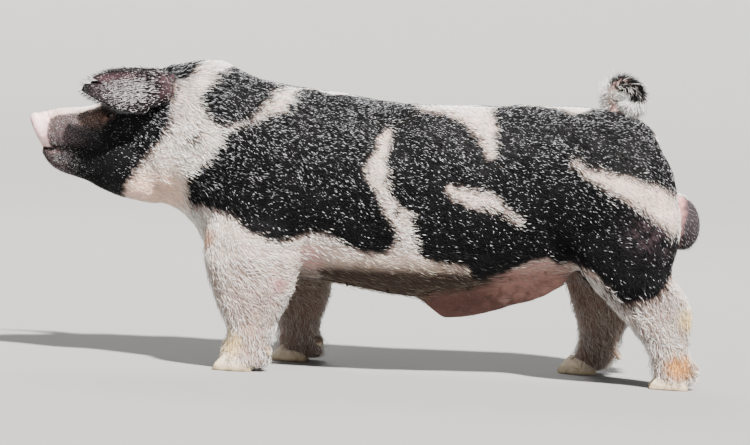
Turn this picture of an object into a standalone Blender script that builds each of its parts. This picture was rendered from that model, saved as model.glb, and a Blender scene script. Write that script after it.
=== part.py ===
"""A domestic boar at life size, standing still with its head held level.

Units are metres. The animal faces -X, its left side is -Y and the floor is Z = 0.
The flesh is blocked out from lofts and rounded masses, fused into one skin, given its face,
thinned to few triangles and then parted by thin flat cuts into the parts a person would name.
"""

import math

import bmesh
import bpy
import numpy as np
from mathutils import Matrix, Vector

# Fineness of the solids
GAP = 0.0003
ROUND_GAP = 0.0006
VOXEL = 0.003
RING_POINTS = 40
WEIGHT_STEPS = 40
SKIN_TRIANGLES = 7100
HEAD_CARE = 0.17
FACE_CARE = 0.40
TRUNK_CARE = 0.066
SAC_VOXEL = 0.004
SAC_TRIANGLES = 460

# Eye, from the eyeball's centre
EYE_RADIUS = 0.0125
EYE_AT = Vector((-0.566, 0.0485, 0.5495))
EYE_LOOK = Vector((-0.52, 0.83, 0.06)).normalized()
EYE_OPENING = (0.0118, 0.0056)

# Snout disc, whose upper rim leads the lower one
DISC_AT = Vector((-0.7335, 0.0, 0.5095))
DISC_LEAN = math.radians(26)
DISC_HALF_HEIGHT = 0.0405
DISC_HALF_WIDTH = 0.0390
DISC_THICKNESS = 0.024
SNOUT_LENGTH = 0.022
NOSTRIL_APART = 0.0155
NOSTRIL_RADII = (0.0062, 0.0085)
NOSTRIL_DEPTH = 0.020

# Ear thickness at the root and at the rim
EAR_THICKNESS = (0.0100, 0.0042)

# Hoof claws, two that carry the foot and two small ones behind it
CLAW_LENGTH = 0.088
CLAW_WIDTH = 0.032
CLAW_HEIGHT = 0.041
HEEL_HEIGHT = 0.020
CLAW_APART = 0.0175
DEWCLAW_LENGTH = 0.026
DEWCLAW_APART = 0.0185
DEWCLAW_RISE = 0.056
DEWCLAW_SUNK = 0.012

# Tail, whose line goes up from the rump, over in a tight arch, and down beside itself
TAIL_KNOTS = (
    (0.586, 0.000, 0.572),
    (0.560, 0.000, 0.604),
    (0.545, 0.000, 0.632),
    (0.549, -0.004, 0.655),
    (0.568, -0.010, 0.671),
    (0.590, -0.017, 0.666),
    (0.603, -0.023, 0.647),
    (0.598, -0.028, 0.628),
    (0.584, -0.031, 0.622),
)
TAIL_RADIUS = 0.0125
TAIL_LEVELS = 12
TAIL_TURNS = (-48, 6, 58, 160)
TAIL_HAIR = 0.033
TAIL_LOCK_WIDTHS = (0.012, 0.016)

# Each row of a body table: place along X, top, bottom, half width, height of the widest
# place, and how square the section is, where 2 is an ellipse.
TRUNK = (
    (-0.540, 0.600, 0.380, 0.072, 0.480, 2.1),
    (-0.480, 0.652, 0.358, 0.100, 0.480, 2.1),
    (-0.430, 0.672, 0.348, 0.122, 0.480, 2.1),
    (-0.380, 0.681, 0.312, 0.144, 0.475, 2.2),
    (-0.350, 0.682, 0.264, 0.157, 0.465, 2.2),
    (-0.300, 0.669, 0.233, 0.168, 0.455, 2.3),
    (-0.250, 0.650, 0.214, 0.176, 0.445, 2.35),
    (-0.180, 0.637, 0.204, 0.181, 0.435, 2.4),
    (-0.080, 0.628, 0.194, 0.186, 0.420, 2.4),
    (0.020, 0.614, 0.178, 0.190, 0.405, 2.35),
    (0.120, 0.607, 0.168, 0.188, 0.405, 2.35),
    (0.220, 0.609, 0.180, 0.180, 0.415, 2.35),
    (0.320, 0.614, 0.204, 0.172, 0.430, 2.35),
    (0.420, 0.617, 0.232, 0.175, 0.440, 2.35),
    (0.520, 0.615, 0.250, 0.184, 0.440, 2.3),
    (0.590, 0.601, 0.262, 0.164, 0.430, 2.2),
    (0.640, 0.577, 0.275, 0.142, 0.420, 2.1),
    (0.678, 0.508, 0.290, 0.108, 0.400, 2.0),
    (0.706, 0.435, 0.330, 0.060, 0.380, 2.0),
)
SKULL = (
    (-0.732, 0.549, 0.478, 0.033, 0.507, 2.1),
    (-0.712, 0.554, 0.469, 0.036, 0.504, 2.2),
    (-0.680, 0.560, 0.456, 0.041, 0.502, 2.3),
    (-0.640, 0.565, 0.444, 0.047, 0.500, 2.4),
    (-0.605, 0.574, 0.430, 0.054, 0.500, 2.5),
    (-0.575, 0.592, 0.415, 0.062, 0.500, 2.4),
    (-0.540, 0.616, 0.400, 0.073, 0.495, 2.3),
    (-0.500, 0.643, 0.390, 0.084, 0.490, 2.2),
    (-0.450, 0.658, 0.380, 0.090, 0.490, 2.1),
)
JAW = (
    (-0.727, 0.473, 0.456, 0.017, 0.466, 2.0),
    (-0.718, 0.478, 0.441, 0.025, 0.464, 2.1),
    (-0.695, 0.482, 0.421, 0.031, 0.458, 2.2),
    (-0.670, 0.486, 0.411, 0.037, 0.452, 2.2),
    (-0.630, 0.490, 0.399, 0.048, 0.446, 2.2),
    (-0.580, 0.492, 0.376, 0.064, 0.440, 2.2),
    (-0.530, 0.492, 0.361, 0.078, 0.436, 2.2),
    (-0.470, 0.492, 0.352, 0.090, 0.440, 2.2),
)
# The fold of the sheath, a keel under the belly
SHEATH = (
    (0.138, 0.200, 0.160, 0.014, 0.180, 2.0),
    (0.155, 0.205, 0.147, 0.024, 0.180, 2.0),
    (0.175, 0.210, 0.131, 0.029, 0.175, 2.0),
    (0.192, 0.215, 0.121, 0.030, 0.170, 2.0),
    (0.230, 0.220, 0.124, 0.033, 0.175, 2.0),
    (0.290, 0.230, 0.139, 0.036, 0.190, 2.0),
    (0.360, 0.245, 0.161, 0.038, 0.210, 2.0),
    (0.420, 0.260, 0.184, 0.038, 0.235, 2.0),
    (0.470, 0.280, 0.215, 0.032, 0.250, 2.0),
)
# Each row of a leg table: height, front, back, distance out from the midline, half width
FORE_LEG = (
    (0.006, -0.280, -0.206, 0.127, 0.0290),
    (0.018, -0.298, -0.193, 0.127, 0.0360),
    (0.045, -0.298, -0.193, 0.127, 0.0385),
    (0.070, -0.294, -0.189, 0.127, 0.0385),
    (0.100, -0.300, -0.178, 0.127, 0.0420),
    (0.130, -0.314, -0.165, 0.127, 0.0470),
    (0.170, -0.330, -0.149, 0.127, 0.0540),
    (0.210, -0.344, -0.137, 0.126, 0.0600),
    (0.250, -0.352, -0.130, 0.124, 0.0620),
    (0.300, -0.350, -0.126, 0.120, 0.0600),
    (0.360, -0.330, -0.130, 0.112, 0.0520),
)
HIND_LEG = (
    (0.006, 0.685, 0.742, 0.120, 0.0290),
    (0.018, 0.664, 0.754, 0.120, 0.0360),
    (0.050, 0.654, 0.755, 0.120, 0.0380),
    (0.070, 0.645, 0.750, 0.120, 0.0370),
    (0.100, 0.626, 0.742, 0.120, 0.0380),
    (0.130, 0.599, 0.745, 0.121, 0.0420),
    (0.160, 0.569, 0.746, 0.122, 0.0480),
    (0.190, 0.540, 0.740, 0.123, 0.0560),
    (0.215, 0.515, 0.724, 0.123, 0.0640),
    (0.260, 0.480, 0.692, 0.120, 0.0740),
    (0.320, 0.472, 0.704, 0.114, 0.0810),
    (0.400, 0.490, 0.700, 0.104, 0.0780),
)
# How far the right legs stand behind the left ones: at the floor, and more for each metre up
FORE_STRIDE = (0.121, -0.20)
HIND_STRIDE = (-0.190, 0.62)
# Where the two carrying claws of each foot end in front
TOE_TIPS = {"fore_left": -0.319, "fore_right": -0.198, "hind_left": 0.651, "hind_right": 0.461}

# Each row of the ear: share of its length, then X, Y and Z of its upper and of its lower edge
# on the right side, and how far its middle stands out from the line between them.
EAR = (
    (0.00, -0.430, 0.058, 0.640, -0.432, 0.094, 0.572, 0.018),
    (0.14, -0.456, 0.064, 0.650, -0.458, 0.108, 0.566, 0.024),
    (0.30, -0.493, 0.070, 0.653, -0.493, 0.118, 0.562, 0.022),
    (0.48, -0.530, 0.075, 0.652, -0.532, 0.124, 0.561, 0.017),
    (0.66, -0.566, 0.080, 0.649, -0.570, 0.124, 0.572, 0.012),
    (0.83, -0.600, 0.086, 0.640, -0.604, 0.119, 0.586, 0.008),
    (0.94, -0.622, 0.093, 0.626, -0.625, 0.113, 0.597, 0.004),
    (1.00, -0.633, 0.100, 0.614, -0.635, 0.108, 0.603, 0.001),
)
# Marking notches through the ear, each by the corners of its wedge in X and Z
EAR_NOTCHES = (
    ((-0.583, 0.6205), (-0.650, 0.6470), (-0.650, 0.6190)),
    ((-0.482, 0.5830), (-0.491, 0.5450), (-0.472, 0.5450)),
)

# Rounded masses on both sides: centre, radii, and a turn about Y in degrees
MASSES = (
    ((-0.215, 0.118, 0.430), (0.120, 0.070, 0.190), 12),
    ((-0.235, 0.130, 0.290), (0.105, 0.060, 0.090), -8),
    ((0.565, 0.098, 0.420), (0.135, 0.098, 0.165), -14),
    ((0.622, 0.100, 0.345), (0.088, 0.090, 0.120), 10),
    ((0.150, 0.085, 0.410), (0.260, 0.106, 0.195), 0),
    ((-0.500, 0.046, 0.438), (0.105, 0.044, 0.074), 20),
    ((-0.574, 0.036, 0.566), (0.042, 0.018, 0.019), -35),
    ((-0.552, 0.052, 0.518), (0.050, 0.016, 0.022), 15),
    ((-0.448, 0.070, 0.616), (0.042, 0.028, 0.042), 0),
)

# Parting cuts, each through a point and square to a direction
HEAD_CUT = (Vector((-0.442, 0.0, 0.500)), Vector((1.0, 0.0, -0.16)))
NECK_CUT = (Vector((-0.342, 0.0, 0.480)), Vector((1.0, 0.0, 0.22)))
# Blocks that part a leg from the body: front, back, top and inner side, and how far they reach
FORE_BLOCK = (-0.430, -0.122, 0.262, 0.064)
HIND_BLOCK = (0.445, 0.820, 0.250, 0.046)
BLOCK_REACH = 0.30

# Scrotum: a lobe on each side and the neck above them, each by centre, radii and turn
SAC_LOBE = ((0.713, 0.030, 0.364), (0.0425, 0.037, 0.060), -8)
SAC_NECK = ((0.704, 0.0, 0.392), (0.034, 0.046, 0.036), -20)

BLACK_COAT = (0.030, 0.030, 0.034)
WHITE_COAT = (0.820, 0.770, 0.710)
PINK_SKIN = (0.690, 0.430, 0.380)
HORN = (0.640, 0.530, 0.400)
DARK_EYE = (0.030, 0.020, 0.020)


def clear_scene():
    for obj in list(bpy.data.objects):
        bpy.data.objects.remove(obj)


def material(name, colour, roughness):
    """A Principled material, made once and then shared."""
    made = bpy.data.materials.get(name)
    if made is None:
        made = bpy.data.materials.new(name)
        made.use_nodes = True
        shader = made.node_tree.nodes["Principled BSDF"]
        shader.inputs["Base Color"].default_value = (*colour, 1.0)
        shader.inputs["Roughness"].default_value = roughness
    return made


def object_of(name, points, faces):
    """A mesh object from points and faces, with every face turned outwards."""
    mesh = bpy.data.meshes.new(name)
    mesh.from_pydata([tuple(point) for point in points], [], [tuple(face) for face in faces])
    shaped = bmesh.new()
    shaped.from_mesh(mesh)
    bmesh.ops.recalc_face_normals(shaped, faces=shaped.faces)
    shaped.to_mesh(mesh)
    shaped.free()
    obj = bpy.data.objects.new(name, mesh)
    bpy.context.scene.collection.objects.link(obj)
    return obj


def apply_modifiers(obj):
    """Replaces the object's mesh by what its modifiers make of it."""
    graph = bpy.context.evaluated_depsgraph_get()
    made = bpy.data.meshes.new_from_object(obj.evaluated_get(graph))
    obj.modifiers.clear()
    obj.data = made
    return obj


def copy_of(obj, name):
    twin = bpy.data.objects.new(name, obj.data.copy())
    bpy.context.scene.collection.objects.link(twin)
    twin.matrix_world = obj.matrix_world.copy()
    return twin


def discard(*objects):
    for obj in objects:
        bpy.data.objects.remove(obj)


def grown(obj, by):
    """A copy whose surface stands out by a small distance."""
    twin = copy_of(obj, obj.name + "_grown")
    swelling = twin.modifiers.new("grow", "DISPLACE")
    swelling.strength = by
    swelling.mid_level = 0.0
    return apply_modifiers(twin)


def combine(obj, other, operation):
    """Cuts or keeps part of an object by another closed one."""
    step = obj.modifiers.new("combine", "BOOLEAN")
    step.operation = operation
    step.solver = "EXACT"
    step.object = other
    bpy.context.view_layer.update()
    return apply_modifiers(obj)


def largest_piece(obj):
    """Keeps only the largest closed surface of the object."""
    shaped = bmesh.new()
    shaped.from_mesh(obj.data)
    pieces, unseen = [], set(shaped.verts)
    while unseen:
        piece, reached = [], [unseen.pop()]
        while reached:
            vertex = reached.pop()
            piece.append(vertex)
            for edge in vertex.link_edges:
                neighbour = edge.other_vert(vertex)
                if neighbour in unseen:
                    unseen.remove(neighbour)
                    reached.append(neighbour)
        pieces.append(piece)
    pieces.sort(key=len)
    for piece in pieces[:-1]:
        bmesh.ops.delete(shaped, geom=piece, context="VERTS")
    shaped.to_mesh(obj.data)
    shaped.free()
    return obj


def smooth_rows(table, steps):
    """Rows at even steps of the first column, on a curve through the table with no overshoot."""
    table = np.asarray(table, float)
    place, values = table[:, 0], table[:, 1:]
    run = np.diff(place)[:, None]
    slope = np.diff(values, axis=0) / run
    same = slope[:-1] * slope[1:] > 0
    total = np.where(same, slope[:-1] + slope[1:], 1.0)
    tangent = np.vstack([slope[:1], np.where(same, 2 * slope[:-1] * slope[1:] / total, 0.0), slope[-1:]])
    at = np.linspace(place[0], place[-1], steps)
    i = np.clip(np.searchsorted(place, at, side="right") - 1, 0, len(run) - 1)
    s = (at - place[i])[:, None] / run[i]
    made = (
        (1 + 2 * s) * (1 - s) ** 2 * values[i]
        + s * (1 - s) ** 2 * run[i] * tangent[i]
        + s**2 * (3 - 2 * s) * values[i + 1]
        + s**2 * (s - 1) * run[i] * tangent[i + 1]
    )
    return np.column_stack([at, made])


def squared_circle(count, square):
    """Unit points round a circle that is squarer the higher the second number is."""
    turn = np.linspace(0, 2 * math.pi, count, endpoint=False)
    cosine, sine = np.cos(turn), np.sin(turn)
    power = 2 / square
    return np.sign(cosine) * np.abs(cosine) ** power, np.sign(sine) * np.abs(sine) ** power


def loft(name, rings):
    """Joins rings of equal count into one closed skin with flat ends."""
    rings = [np.asarray(ring) for ring in rings]
    count = len(rings[0])
    faces = [range(count), range((len(rings) - 1) * count, len(rings) * count)]
    for row in range(len(rings) - 1):
        for k in range(count):
            after = (k + 1) % count
            low, high = row * count, (row + 1) * count
            faces.append((low + k, low + after, high + after, high + k))
    return object_of(name, np.vstack(rings), faces)


def body_loft(name, table, spacing=0.02):
    """A loft of upright sections, set along X by a body table."""
    steps = max(8, round((table[-1][0] - table[0][0]) / spacing))
    rings = []
    for x, top, bottom, half_width, widest, square in smooth_rows(table, steps):
        across, rise = squared_circle(RING_POINTS, square)
        reach = np.where(rise > 0, top - widest, widest - bottom)
        rings.append(np.column_stack([np.full(RING_POINTS, x), half_width * across, widest + reach * rise]))
    return loft(name, rings)


def stride_at(z, side, stride):
    """How far back a leg's section stands: the right leg swings from its hip or shoulder."""
    swing = stride[0] + stride[1] * z
    return swing if side > 0 and swing * stride[0] > 0 else 0.0


def leg_loft(name, table, side, stride):
    """A leg of level sections; side is -1 for left and 1 for right."""
    rings = []
    for z, front, back, out, half_width in smooth_rows(table, 30):
        along, across = squared_circle(RING_POINTS, 2.2)
        x = (front + back) / 2 + stride_at(z, side, stride) + (back - front) / 2 * along
        rings.append(np.column_stack([x, side * out + half_width * across, np.full(RING_POINTS, z)]))
    return loft(name, rings)


def ellipsoid(name, centre, radii, turn=0.0, rings=16, segments=28):
    """A stretched ball, turned about Y."""
    shaped = bmesh.new()
    bmesh.ops.create_uvsphere(shaped, u_segments=segments, v_segments=rings, radius=1.0)
    place = Matrix.Translation(centre) @ Matrix.Rotation(math.radians(turn), 4, "Y")
    bmesh.ops.transform(shaped, matrix=place @ Matrix.Diagonal((*radii, 1.0)), verts=shaped.verts)
    mesh = bpy.data.meshes.new(name)
    shaped.to_mesh(mesh)
    shaped.free()
    obj = bpy.data.objects.new(name, mesh)
    bpy.context.scene.collection.objects.link(obj)
    return obj


def snout_disc():
    """The gristly disc at the end of the snout: a thick lens with a rolled rim."""
    half = DISC_THICKNESS / 2
    rim = np.linspace(-math.pi / 2, math.pi / 2, 7)
    lean = Matrix.Rotation(-DISC_LEAN, 4, "Y")
    rings = []
    for angle in rim:
        inset = half * (1 - math.cos(angle))
        across, rise = squared_circle(RING_POINTS, 2.25)
        wide, high = DISC_HALF_WIDTH - inset, DISC_HALF_HEIGHT - inset
        depth = half * math.sin(angle)
        rings.append([DISC_AT + lean @ Vector((depth, wide * a, high * r)) for a, r in zip(across, rise)])
    return loft("disc", rings)


def fuse(pieces, voxel):
    """One closed skin round all the pieces, which are then gone."""
    shaped = bmesh.new()
    for piece in pieces:
        piece.data.transform(piece.matrix_world)
        shaped.from_mesh(piece.data)
    mesh = bpy.data.meshes.new("flesh")
    shaped.to_mesh(mesh)
    shaped.free()
    discard(*pieces)
    flesh = bpy.data.objects.new("flesh", mesh)
    bpy.context.scene.collection.objects.link(flesh)
    remesh = flesh.modifiers.new("fuse", "REMESH")
    remesh.mode = "VOXEL"
    remesh.voxel_size = voxel
    return apply_modifiers(flesh)


def points_of(obj):
    places = np.empty(len(obj.data.vertices) * 3)
    obj.data.vertices.foreach_get("co", places)
    return places.reshape(-1, 3)


def normals_of(obj):
    directions = np.empty(len(obj.data.vertices) * 3)
    obj.data.vertex_normals.foreach_get("vector", directions)
    return directions.reshape(-1, 3)


def set_points(obj, places):
    obj.data.vertices.foreach_set("co", places.astype(np.float32).ravel())
    obj.data.update()


def weigh(obj, name, weights):
    """A vertex group holding these weights, in steps of a fortieth."""
    group = obj.vertex_groups.new(name=name)
    levels = np.round(np.clip(weights, 0, 1) * WEIGHT_STEPS).astype(int)
    for level in range(1, WEIGHT_STEPS + 1):
        found = np.nonzero(levels == level)[0]
        if len(found):
            group.add(found.tolist(), level / WEIGHT_STEPS, "REPLACE")
    return group


def relax(obj, rounds, weights):
    """Smooths the skin where the weights are high."""
    weigh(obj, "relax", weights)
    step = obj.modifiers.new("relax", "SMOOTH")
    step.factor = 0.5
    step.iterations = rounds
    step.vertex_group = "relax"
    apply_modifiers(obj)
    obj.vertex_groups.clear()
    return obj


def ramp(values, low, high):
    """0 below the low value, 1 above the high one, and a smooth rise between."""
    t = np.clip((values - low) / (high - low), 0, 1)
    return t * t * (3 - 2 * t)


def mirrored(places):
    """The points with both sides of the body folded onto the right one."""
    folded = places.copy()
    folded[:, 1] = np.abs(folded[:, 1])
    return folded


def line_distance(places, path):
    """Distance of each point from a bent line, and how far along it the nearest place is."""
    path = np.asarray(path, float)
    best = np.full(len(places), np.inf)
    along = np.zeros(len(places))
    for k, (a, b) in enumerate(zip(path[:-1], path[1:])):
        run = b - a
        t = np.clip((places - a) @ run / (run @ run), 0, 1)
        away = np.linalg.norm(places - (a + t[:, None] * run), axis=1)
        nearer = away < best
        best = np.where(nearer, away, best)
        along = np.where(nearer, (k + t) / (len(path) - 1), along)
    return best, along


def calm_normals(obj, rounds):
    """The skin's directions, each evened out with its neighbours' so that folds stay clean."""
    pairs = np.empty(len(obj.data.edges) * 2, dtype=np.int32)
    obj.data.edges.foreach_get("vertices", pairs)
    first, second = pairs.reshape(-1, 2).T
    directions = normals_of(obj)
    for _ in range(rounds):
        spread = directions.copy()
        np.add.at(spread, first, directions[second])
        np.add.at(spread, second, directions[first])
        directions = spread / np.maximum(np.linalg.norm(spread, axis=1), 1e-9)[:, None]
    return directions


def press(obj, path, width, depth, directions=None):
    """Pushes the skin in along a bent line on both sides, or out where the depth is negative."""
    places = points_of(obj)
    away, along = line_distance(mirrored(places), path)
    amount = depth * np.exp(-((away / width) ** 2)) * np.sqrt(np.clip(4 * along * (1 - along) + 0.15, 0, 1))
    if directions is None:
        directions = normals_of(obj)
    set_points(obj, places - directions * amount[:, None])


# Lines of the face and the body's folds, on the right side
MOUTH_LINE = ((-0.728, 0.004, 0.469), (-0.716, 0.026, 0.467), (-0.692, 0.036, 0.466), (-0.666, 0.042, 0.470),
              (-0.642, 0.048, 0.479), (-0.624, 0.052, 0.490))
UPPER_LIP = ((-0.722, 0.022, 0.478), (-0.696, 0.038, 0.477), (-0.670, 0.044, 0.481), (-0.644, 0.050, 0.491))
LOWER_LIP = ((-0.722, 0.020, 0.458), (-0.694, 0.034, 0.455), (-0.668, 0.040, 0.458), (-0.640, 0.048, 0.468))
DISC_CREASE = ((-0.722, 0.0, 0.552), (-0.716, 0.026, 0.545), (-0.706, 0.039, 0.526), (-0.697, 0.042, 0.500),
               (-0.694, 0.038, 0.482))
EYE_HOLLOW = ((-0.580, 0.060, 0.548), (-0.556, 0.064, 0.552))
BACK_CREASE = ((-0.230, 0.0, 0.655), (0.020, 0.0, 0.615), (0.270, 0.0, 0.612), (0.500, 0.0, 0.615))
ELBOW_CREASE = ((-0.110, 0.185, 0.330), (-0.092, 0.175, 0.280), (-0.100, 0.160, 0.235),
                (-0.125, 0.145, 0.205))
FLANK_CREASE = ((0.410, 0.170, 0.360), (0.430, 0.160, 0.300), (0.470, 0.150, 0.245), (0.520, 0.140, 0.205))
HAM_CREASE = ((0.680, 0.0, 0.520), (0.710, 0.0, 0.440), (0.710, 0.0, 0.360), (0.690, 0.0, 0.280))


def eye_axes():
    """Directions along the eye's opening, across it, and out of it, on the right side."""
    along = Vector((0.80, 0.50, 0.33))
    along = (along - along.dot(EYE_LOOK) * EYE_LOOK).normalized()
    return along, EYE_LOOK.cross(along), EYE_LOOK


def lid_path(height):
    """A lid's edge on the right side: an arc over the opening, or under it for a negative height."""
    along, up, look = eye_axes()
    if up.z < 0:
        up = -up
    path = []
    for t in np.linspace(-1, 1, 7):
        swing = EYE_OPENING[0] * 1.2 * t
        lift = height * (1 - t * t)
        path.append(tuple(EYE_AT + along * swing + up * lift + look * (EYE_RADIUS * 1.05 - abs(t) * 0.002)))
    return path


def flesh_form():
    """The whole animal but for its ears, tail, eyes and claws, as one skin."""
    pieces = [body_loft("trunk", TRUNK), body_loft("skull", SKULL), body_loft("jaw", JAW)]
    pieces += [body_loft("sheath", SHEATH), snout_disc()]
    for side in (-1, 1):
        pieces.append(leg_loft("fore", FORE_LEG, side, FORE_STRIDE))
        pieces.append(leg_loft("hind", HIND_LEG, side, HIND_STRIDE))
        for k, (centre, radii, turn) in enumerate(MASSES):
            pieces.append(ellipsoid(f"mass_{k}", (centre[0], side * centre[1], centre[2]), radii, turn))
    flesh = fuse(pieces, VOXEL)
    places = points_of(flesh)
    behind_snout = ramp(places[:, 0], -0.70, -0.64)
    above_foot = ramp(places[:, 2], 0.03, 0.10)
    relax(flesh, 34, behind_snout * above_foot)
    relax(flesh, 40, ramp(points_of(flesh)[:, 0], -0.52, -0.44) * above_foot)
    relax(flesh, 4, np.ones(len(places)))
    press(flesh, BACK_CREASE, 0.030, 0.004)
    press(flesh, ELBOW_CREASE, 0.020, 0.006)
    press(flesh, FLANK_CREASE, 0.030, 0.010)
    press(flesh, HAM_CREASE, 0.026, 0.024)
    calm = calm_normals(flesh, 12)
    press(flesh, UPPER_LIP, 0.0075, -0.0028, calm)
    press(flesh, LOWER_LIP, 0.0075, -0.0028, calm)
    press(flesh, MOUTH_LINE, 0.0052, 0.0078, calm)
    press(flesh, DISC_CREASE, 0.0060, 0.0034, calm)
    press(flesh, EYE_HOLLOW, 0.016, 0.0035)
    press(flesh, lid_path(0.0092), 0.0042, -0.0050)
    press(flesh, lid_path(-0.0088), 0.0040, -0.0040)
    relax(flesh, 2, np.ones(len(places)))
    return flesh


def thin_out(flesh, triangles):
    """Fewer triangles, with the head kept finer than the body, and the mouth, snout and lids finest."""
    places = points_of(flesh)
    folded = mirrored(places)
    head = 1 - ramp(places[:, 0], -0.54, -0.44)
    trunk = (1 - head) * ramp(places[:, 2], 0.16, 0.24)
    to_mouth = line_distance(folded, MOUTH_LINE)[0]
    to_eye = np.linalg.norm(folded - np.array(EYE_AT), axis=1)
    to_snout = np.linalg.norm(folded - np.array(DISC_AT), axis=1)
    face = np.maximum(1 - ramp(to_mouth, 0.008, 0.022), 1 - ramp(to_eye, 0.016, 0.032))
    face = np.maximum(face, 0.3 * (1 - ramp(to_snout, 0.03, 0.06)))
    weigh(flesh, "care", np.maximum(head * HEAD_CARE + trunk * TRUNK_CARE, face * FACE_CARE))
    step = flesh.modifiers.new("thin", "DECIMATE")
    step.ratio = triangles / (2 * len(flesh.data.polygons))
    step.vertex_group = "care"
    step.invert_vertex_group = True
    step.vertex_group_factor = 1.0
    apply_modifiers(flesh)
    flesh.vertex_groups.clear()
    return flesh


def mirror_side(vector, side):
    return Vector((vector[0], vector[1] * side, vector[2]))


def snout_block(clearance):
    """The block, set square to the disc, that holds the bare end of the snout."""
    lean = Matrix.Rotation(-DISC_LEAN, 3, "Y")
    half = Vector((0.06, 0.08, 0.06)) + Vector((clearance,) * 3)
    middle = DISC_AT + lean @ Vector((SNOUT_LENGTH - 0.06, 0.0, 0.06 - DISC_HALF_HEIGHT - 0.001))
    return big_box("snout_block", middle, half, lean)


def eyeball(name, side, radius):
    return ellipsoid(name, mirror_side(EYE_AT, side), (radius,) * 3, 0, 8, 12)


def opening_between_lids(side):
    """A spindle that opens the lids in front of the eyeball."""
    along, up, look = (mirror_side(v, side) for v in eye_axes())
    centre = mirror_side(EYE_AT, side)
    rings = []
    for depth in (0.004, 0.030):
        across, rise = squared_circle(16, 1.7)
        middle = centre + look * depth
        wide, high = along * EYE_OPENING[0], up * EYE_OPENING[1]
        rings.append([middle + wide * a + high * r for a, r in zip(across, rise)])
    return loft("lid_opening", rings)


def nostril(side):
    """An oval plug that opens one nostril, narrowing as it goes in."""
    lean = Matrix.Rotation(-DISC_LEAN, 4, "Y")
    rings = []
    for depth, share in ((-0.02, 1.15), (0.0, 1.0), (NOSTRIL_DEPTH, 0.45)):
        across, rise = squared_circle(12, 2.0)
        wide, high = (radius * share for radius in NOSTRIL_RADII)
        ring = [Vector((depth, side * NOSTRIL_APART + wide * a, high * r)) for a, r in zip(across, rise)]
        rings.append([DISC_AT + lean @ point for point in ring])
    return loft("nostril", rings)


def big_box(name, centre, half, turn=None):
    """A block with these half sizes, for cutting."""
    corners = [(x, y, z) for x in (-1, 1) for y in (-1, 1) for z in (-1, 1)]
    faces = ((0, 1, 3, 2), (4, 6, 7, 5), (0, 4, 5, 1), (2, 3, 7, 6), (0, 2, 6, 4), (1, 5, 7, 3))
    spin = turn or Matrix.Identity(3)
    points = [Vector(centre) + spin @ Vector(c * h for c, h in zip(corner, half)) for corner in corners]
    return object_of(name, points, faces)


def half_space(name, cut, sign, clearance=GAP / 2):
    """A large block on one side of a cut, kept off it by half a gap."""
    point, direction = cut
    normal = direction.normalized() * sign
    turn = normal.to_track_quat("Z", "Y").to_matrix()
    return big_box(name, point + normal * (2.0 + clearance), (2.0, 2.0, 2.0), turn)


def leg_block(name, end, side, clearance):
    """The block that holds one leg, larger by the clearance on every face."""
    low, high, top, inner = FORE_BLOCK if end == "fore" else HIND_BLOCK
    shift = stride_at(top, side, FORE_STRIDE if end == "fore" else HIND_STRIDE)
    low, high = (low, high + shift) if end == "fore" else (low + shift, high)
    centre = ((low + high) / 2, side * (inner + BLOCK_REACH) / 2, (top - BLOCK_REACH) / 2)
    half = Vector(((high - low) / 2, (BLOCK_REACH - inner) / 2, (top + BLOCK_REACH) / 2))
    return big_box(name, centre, half + Vector((clearance,) * 3))


def claw(name, toe, y, outward):
    """One carrying claw: a flat sole, a sloping front wall and a coronet that falls to the heel."""
    rings = []
    for rise, reach, share in ((0.0, 0.0, 0.94), (0.22, 0.03, 1.0), (0.62, 0.17, 0.90), (1.0, 0.33, 0.74)):
        along, across = squared_circle(14, 2.4)
        front = toe + CLAW_LENGTH * reach
        back = toe + CLAW_LENGTH * (1.0 - 0.05 * rise)
        taper = 1 - 0.42 * ramp(-along, -0.1, 1.0)
        lean = outward * 0.004 * (along + 1) / 2
        fall = CLAW_HEIGHT + (HEEL_HEIGHT - CLAW_HEIGHT) * (along + 1) / 2
        x = (front + back) / 2 + (back - front) / 2 * along
        rings.append(np.column_stack([x, y + lean + CLAW_WIDTH / 2 * share * across * taper, fall * rise]))
    return loft(name, rings)


def dewclaw(name, x, y, z, side_out):
    """A small blunt cone behind and above the carrying claws, pointing back and down."""
    rings = []
    for t, radius in ((0.0, 0.0085), (0.45, 0.0088), (0.8, 0.0060), (1.0, 0.0025)):
        along, across = squared_circle(8, 2.0)
        reach = DEWCLAW_LENGTH * t
        centre = Vector((x + 0.55 * reach, y + side_out * 0.004 * t, z - 0.72 * reach))
        ring = [Vector((0.9 * a, c, 0.5 * a)) * radius for a, c in zip(along, across)]
        rings.append([centre + point for point in ring])
    return loft(name, rings)


def feet():
    """All sixteen claws, as a table of leg name to its claws."""
    made = {}
    for leg, toe in TOE_TIPS.items():
        end, hand = leg.split("_")
        side = -1 if hand == "left" else 1
        table, stride = (FORE_LEG, FORE_STRIDE) if end == "fore" else (HIND_LEG, HIND_STRIDE)
        out = side * table[0][3]
        back = table[2][2] + stride_at(DEWCLAW_RISE, side, stride)
        claws = []
        for word, apart in (("inner", -side), ("outer", side)):
            claws.append(claw(f"claw_{leg}_{word}", toe, out + apart * CLAW_APART, apart))
            place = (back - DEWCLAW_SUNK, out + apart * DEWCLAW_APART, DEWCLAW_RISE)
            claws.append(dewclaw(f"dewclaw_{leg}_{word}", *place, apart))
        made[leg] = claws
    return made


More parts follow.
